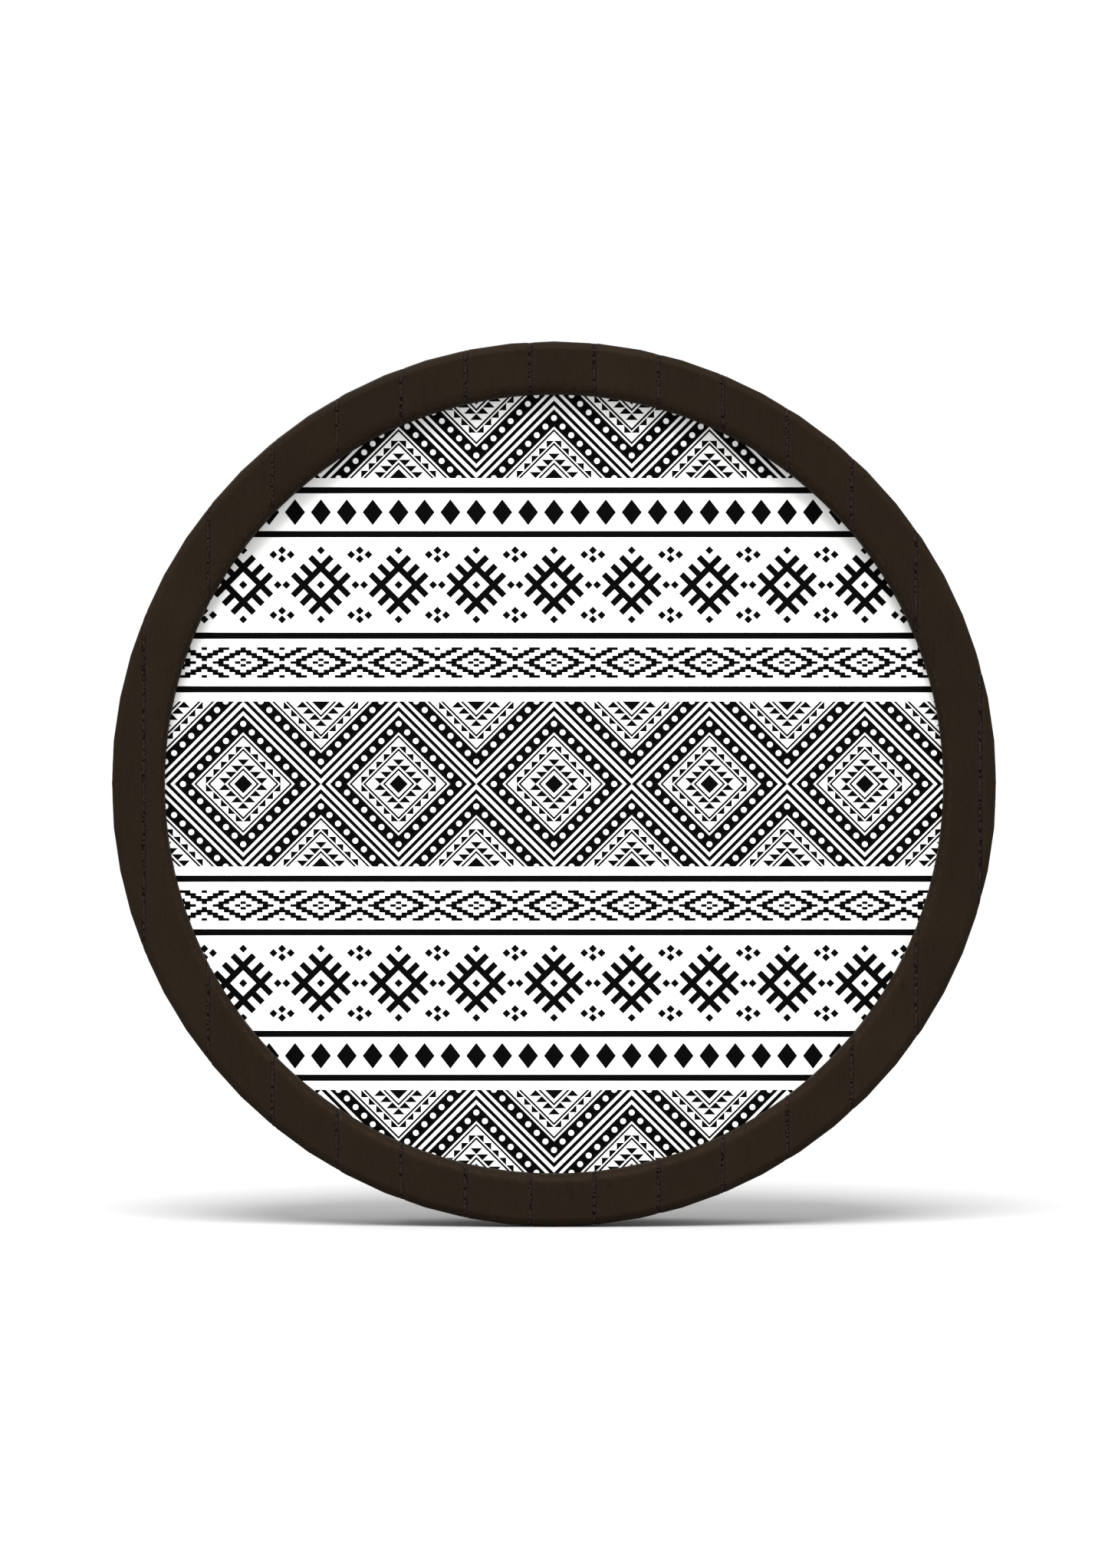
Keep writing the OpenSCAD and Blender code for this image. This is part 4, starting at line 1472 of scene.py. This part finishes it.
def make_screws(material):
    """Every screw: through the shell into the lugs, the brackets' two sorts, and the one at the crossing."""
    large = (3.6 * MM, 2.2 * MM, 2 * MM, 10 * MM)
    small = (2.9 * MM, 1.6 * MM, 1.5 * MM, 6 * MM)
    inward = Matrix.Rotation(math.pi, 4, "X")
    through_shell = [radial_frame(a, LUG_WASHER_R, y) @ inward for a in ROD_ANGLES for y in LUG_SCREW_YS]
    ears, cheeks = [], []
    for arm in range(4):
        for side in (1, -1):
            ears.append(radial_frame(arm * QUARTER, BAR_END, BAR_MID, side * EAR_SIDE) @ inward)
            cheek = radial_frame(arm * QUARTER, CHEEK_SCREW_R, BAR_MID, side * CHEEK_OUT)
            cheeks.append(cheek @ Matrix.Rotation(side * QUARTER, 4, "Y"))
    for node, size, matrices in (
        ("lug_screws", large, through_shell), ("bracket_screws", small, ears),
        ("bar_screws", small, cheeks), ("centre_screw", large, [axial_frame(y=BAR_BACK)]),
    ):
        bm = bmesh.new()
        for matrix in matrices:
            screw(bm, matrix, *size)
        fine_piece(node, bm, material, "screw_steel", 35)


# ---- Cross bars and grip ----

def make_brackets(material):
    """Folded steel brackets: two cheeks on a base that follows the shell's wall, with rounded ears."""
    low, high = depths("bar_brackets")
    half = (high - low) / 2
    wall = []
    for k in range(-4, 5):
        x = BRACKET_HALF * k / 4
        wall.append((x, math.sqrt(SHELL_RI ** 2 - x * x) - 0.02 * MM, 0.0))
    inner, outer = CHEEK_OUT - 2 * MM, CHEEK_OUT
    right = [
        (BRACKET_HALF, wall[0][1] - 2.4 * MM, 0.6 * MM), (outer, BAR_END, 1.4 * MM),
        (outer, BRACKET_TIP, 0.6 * MM), (inner, BRACKET_TIP, 0.6 * MM), (inner, BAR_END, 0.4 * MM),
    ]
    left = [(-x, r, rounding) for x, r, rounding in reversed(right)]
    outline = rounded(wall + right + left, 0.5 * MM, 3)
    bm = bmesh.new()
    for arm in range(4):
        prism(bm, outline, -half, half, radial_frame(arm * QUARTER, 0, BAR_MID) @ PLAN_VIEW, 0.5 * MM)
    fine_piece("bar_brackets", bm, material, "steel", 35)


def make_bar(node, material, turn, notch_rear):
    """A cross bar with eased edges, halved where it crosses the other one."""
    across, end = BAR_HALF_WIDTH, BAR_END
    whole, notched = (BAR_FRONT, BAR_BACK) if notch_rear else (BAR_BACK, BAR_FRONT)
    outline = [
        (-end, whole), (end, whole), (end, notched), (across, notched), (across, BAR_MID), (-across, BAR_MID),
        (-across, notched), (-end, notched),
    ]
    bm = bmesh.new()
    prism(bm, outline, -across, across, Matrix(), 1.3 * MM, 3)
    for x in (-120, -60, 60, 120):
        cut(bm, x * MM, 1, keep_all=True)
    layer = bm.verts.layers.float_vector.new("bar_along")
    for v in bm.verts:
        v[layer] = v.co + Vector((0.4, 0.1, 0.05)) * turn
    bmesh.ops.transform(bm, matrix=Matrix.Rotation(turn, 4, "Y"), verts=bm.verts)
    fine_piece(node, bm, material, "bar_wood", 35)


def wrap_path(half_width, half_depth, corner):
    """Points and outward normals once round a bar's section. The last value is 1 on its rounded corners."""
    signs = ((1, -1), (1, 1), (-1, 1), (-1, -1))
    steps = 5
    points = []
    for i, (sx, sy) in enumerate(signs):
        cx, cy = sx * (half_width - corner), sy * (half_depth - corner)
        for k in range(steps + 1):
            nx, ny = math.cos(QUARTER * (i - 1 + k / steps)), math.sin(QUARTER * (i - 1 + k / steps))
            points.append((cx + corner * nx, cy + corner * ny, nx, ny, 1.0))
        x0, y0 = points[-1][:2]
        next_sx, next_sy = signs[(i + 1) % 4]
        x1 = next_sx * (half_width - corner) + corner * nx
        y1 = next_sy * (half_depth - corner) + corner * ny
        for t in (k / steps for k in range(1, steps)):
            points.append((x0 + (x1 - x0) * t, y0 + (y1 - y0) * t, nx, ny, 0.0))
    return points


def make_leather(material):
    """A leather strip wound round each arm of the crossing, in turns laid edge to edge."""
    strip_half, turns, slack = 3.1 * MM, 5, 0.05 * MM
    first, last = GRIP_NEAR + strip_half, GRIP_FAR - strip_half
    around = wrap_path(BAR_HALF_WIDTH + slack, (BAR_BACK - BAR_FRONT) / 2 + slack, 1.8 * MM)
    total = turns * len(around)
    # (share of the strip's half width, height above the bar in millimetres)
    half_section = ((1.0, 0.0), (1.0, 0.85), (0.96, 1.25), (0.86, 1.5), (0.7, 1.62), (0.3, 1.7))
    section = [(-w, h) for w, h in half_section] + list(reversed(half_section))
    start = 7
    bm = bmesh.new()
    wear = bm.verts.layers.float.new("edge_wear")
    for arm in range(4):
        turned = Matrix.Rotation(arm * QUARTER, 4, "Y")
        rows = []
        for i in range(total + 1):
            x, y, nx, ny, corner = around[(i + start) % len(around)]
            wobble = draw(arm * 9.1, i * 0.11, 0.4)
            along = first + (last - first) * i / total + 0.12 * MM * wobble
            row = []
            for w, h in section:
                lift = h * MM * (1 + 0.06 * wobble)
                spot = Vector((along + w * strip_half, BAR_MID + y + ny * lift, x + nx * lift))
                v = bm.verts.new(turned @ spot)
                v[wear] = clamp((0.1 + 0.6 * corner) * (h / 1.7) + 0.3 * wobble)
                row.append(v)
            rows.append(row)
        loft(bm, rows)
    fine_piece("grip_wrap", bm, material, "leather", 50)


# ---- The scene ----

make_camera()
make_floor()
make_light()

steel = metal("steel", (0.42, 0.42, 0.43), (0.30, 0.30, 0.31), 0.34)
black_steel = metal("screw_steel", (0.055, 0.055, 0.06), (0.03, 0.03, 0.032), 0.36)
chrome = metal("chrome", (0.78, 0.79, 0.80), (0.66, 0.67, 0.68), 0.14)
brass = metal("brass", (0.63, 0.45, 0.18), (0.45, 0.31, 0.12), 0.3)
rubber = rubber_material()
bars = bar_wood()

make_boards(board_wood())
make_filler(filler_material())
make_film(film_material())
make_print(ink_material())
make_backing_ring(plywood())
make_inserts(brass)
make_flesh_hoop(steel)
make_shell(stave_wood())
make_stiffener(band_wood())
make_grommet(rubber)
make_lugs(chrome)
make_gaskets(rubber)
make_washers(steel)
for number, (rod, matrix) in enumerate(zip(RODS, ROD_FRAMES), 1):
    make_rod(rod, f"rod_{number}", matrix, chrome)
make_screws(black_steel)
make_brackets(steel)
make_bar("level_bar", bars, 0.0, True)
make_bar("upright_bar", bars, QUARTER, False)
make_leather(leather_material())
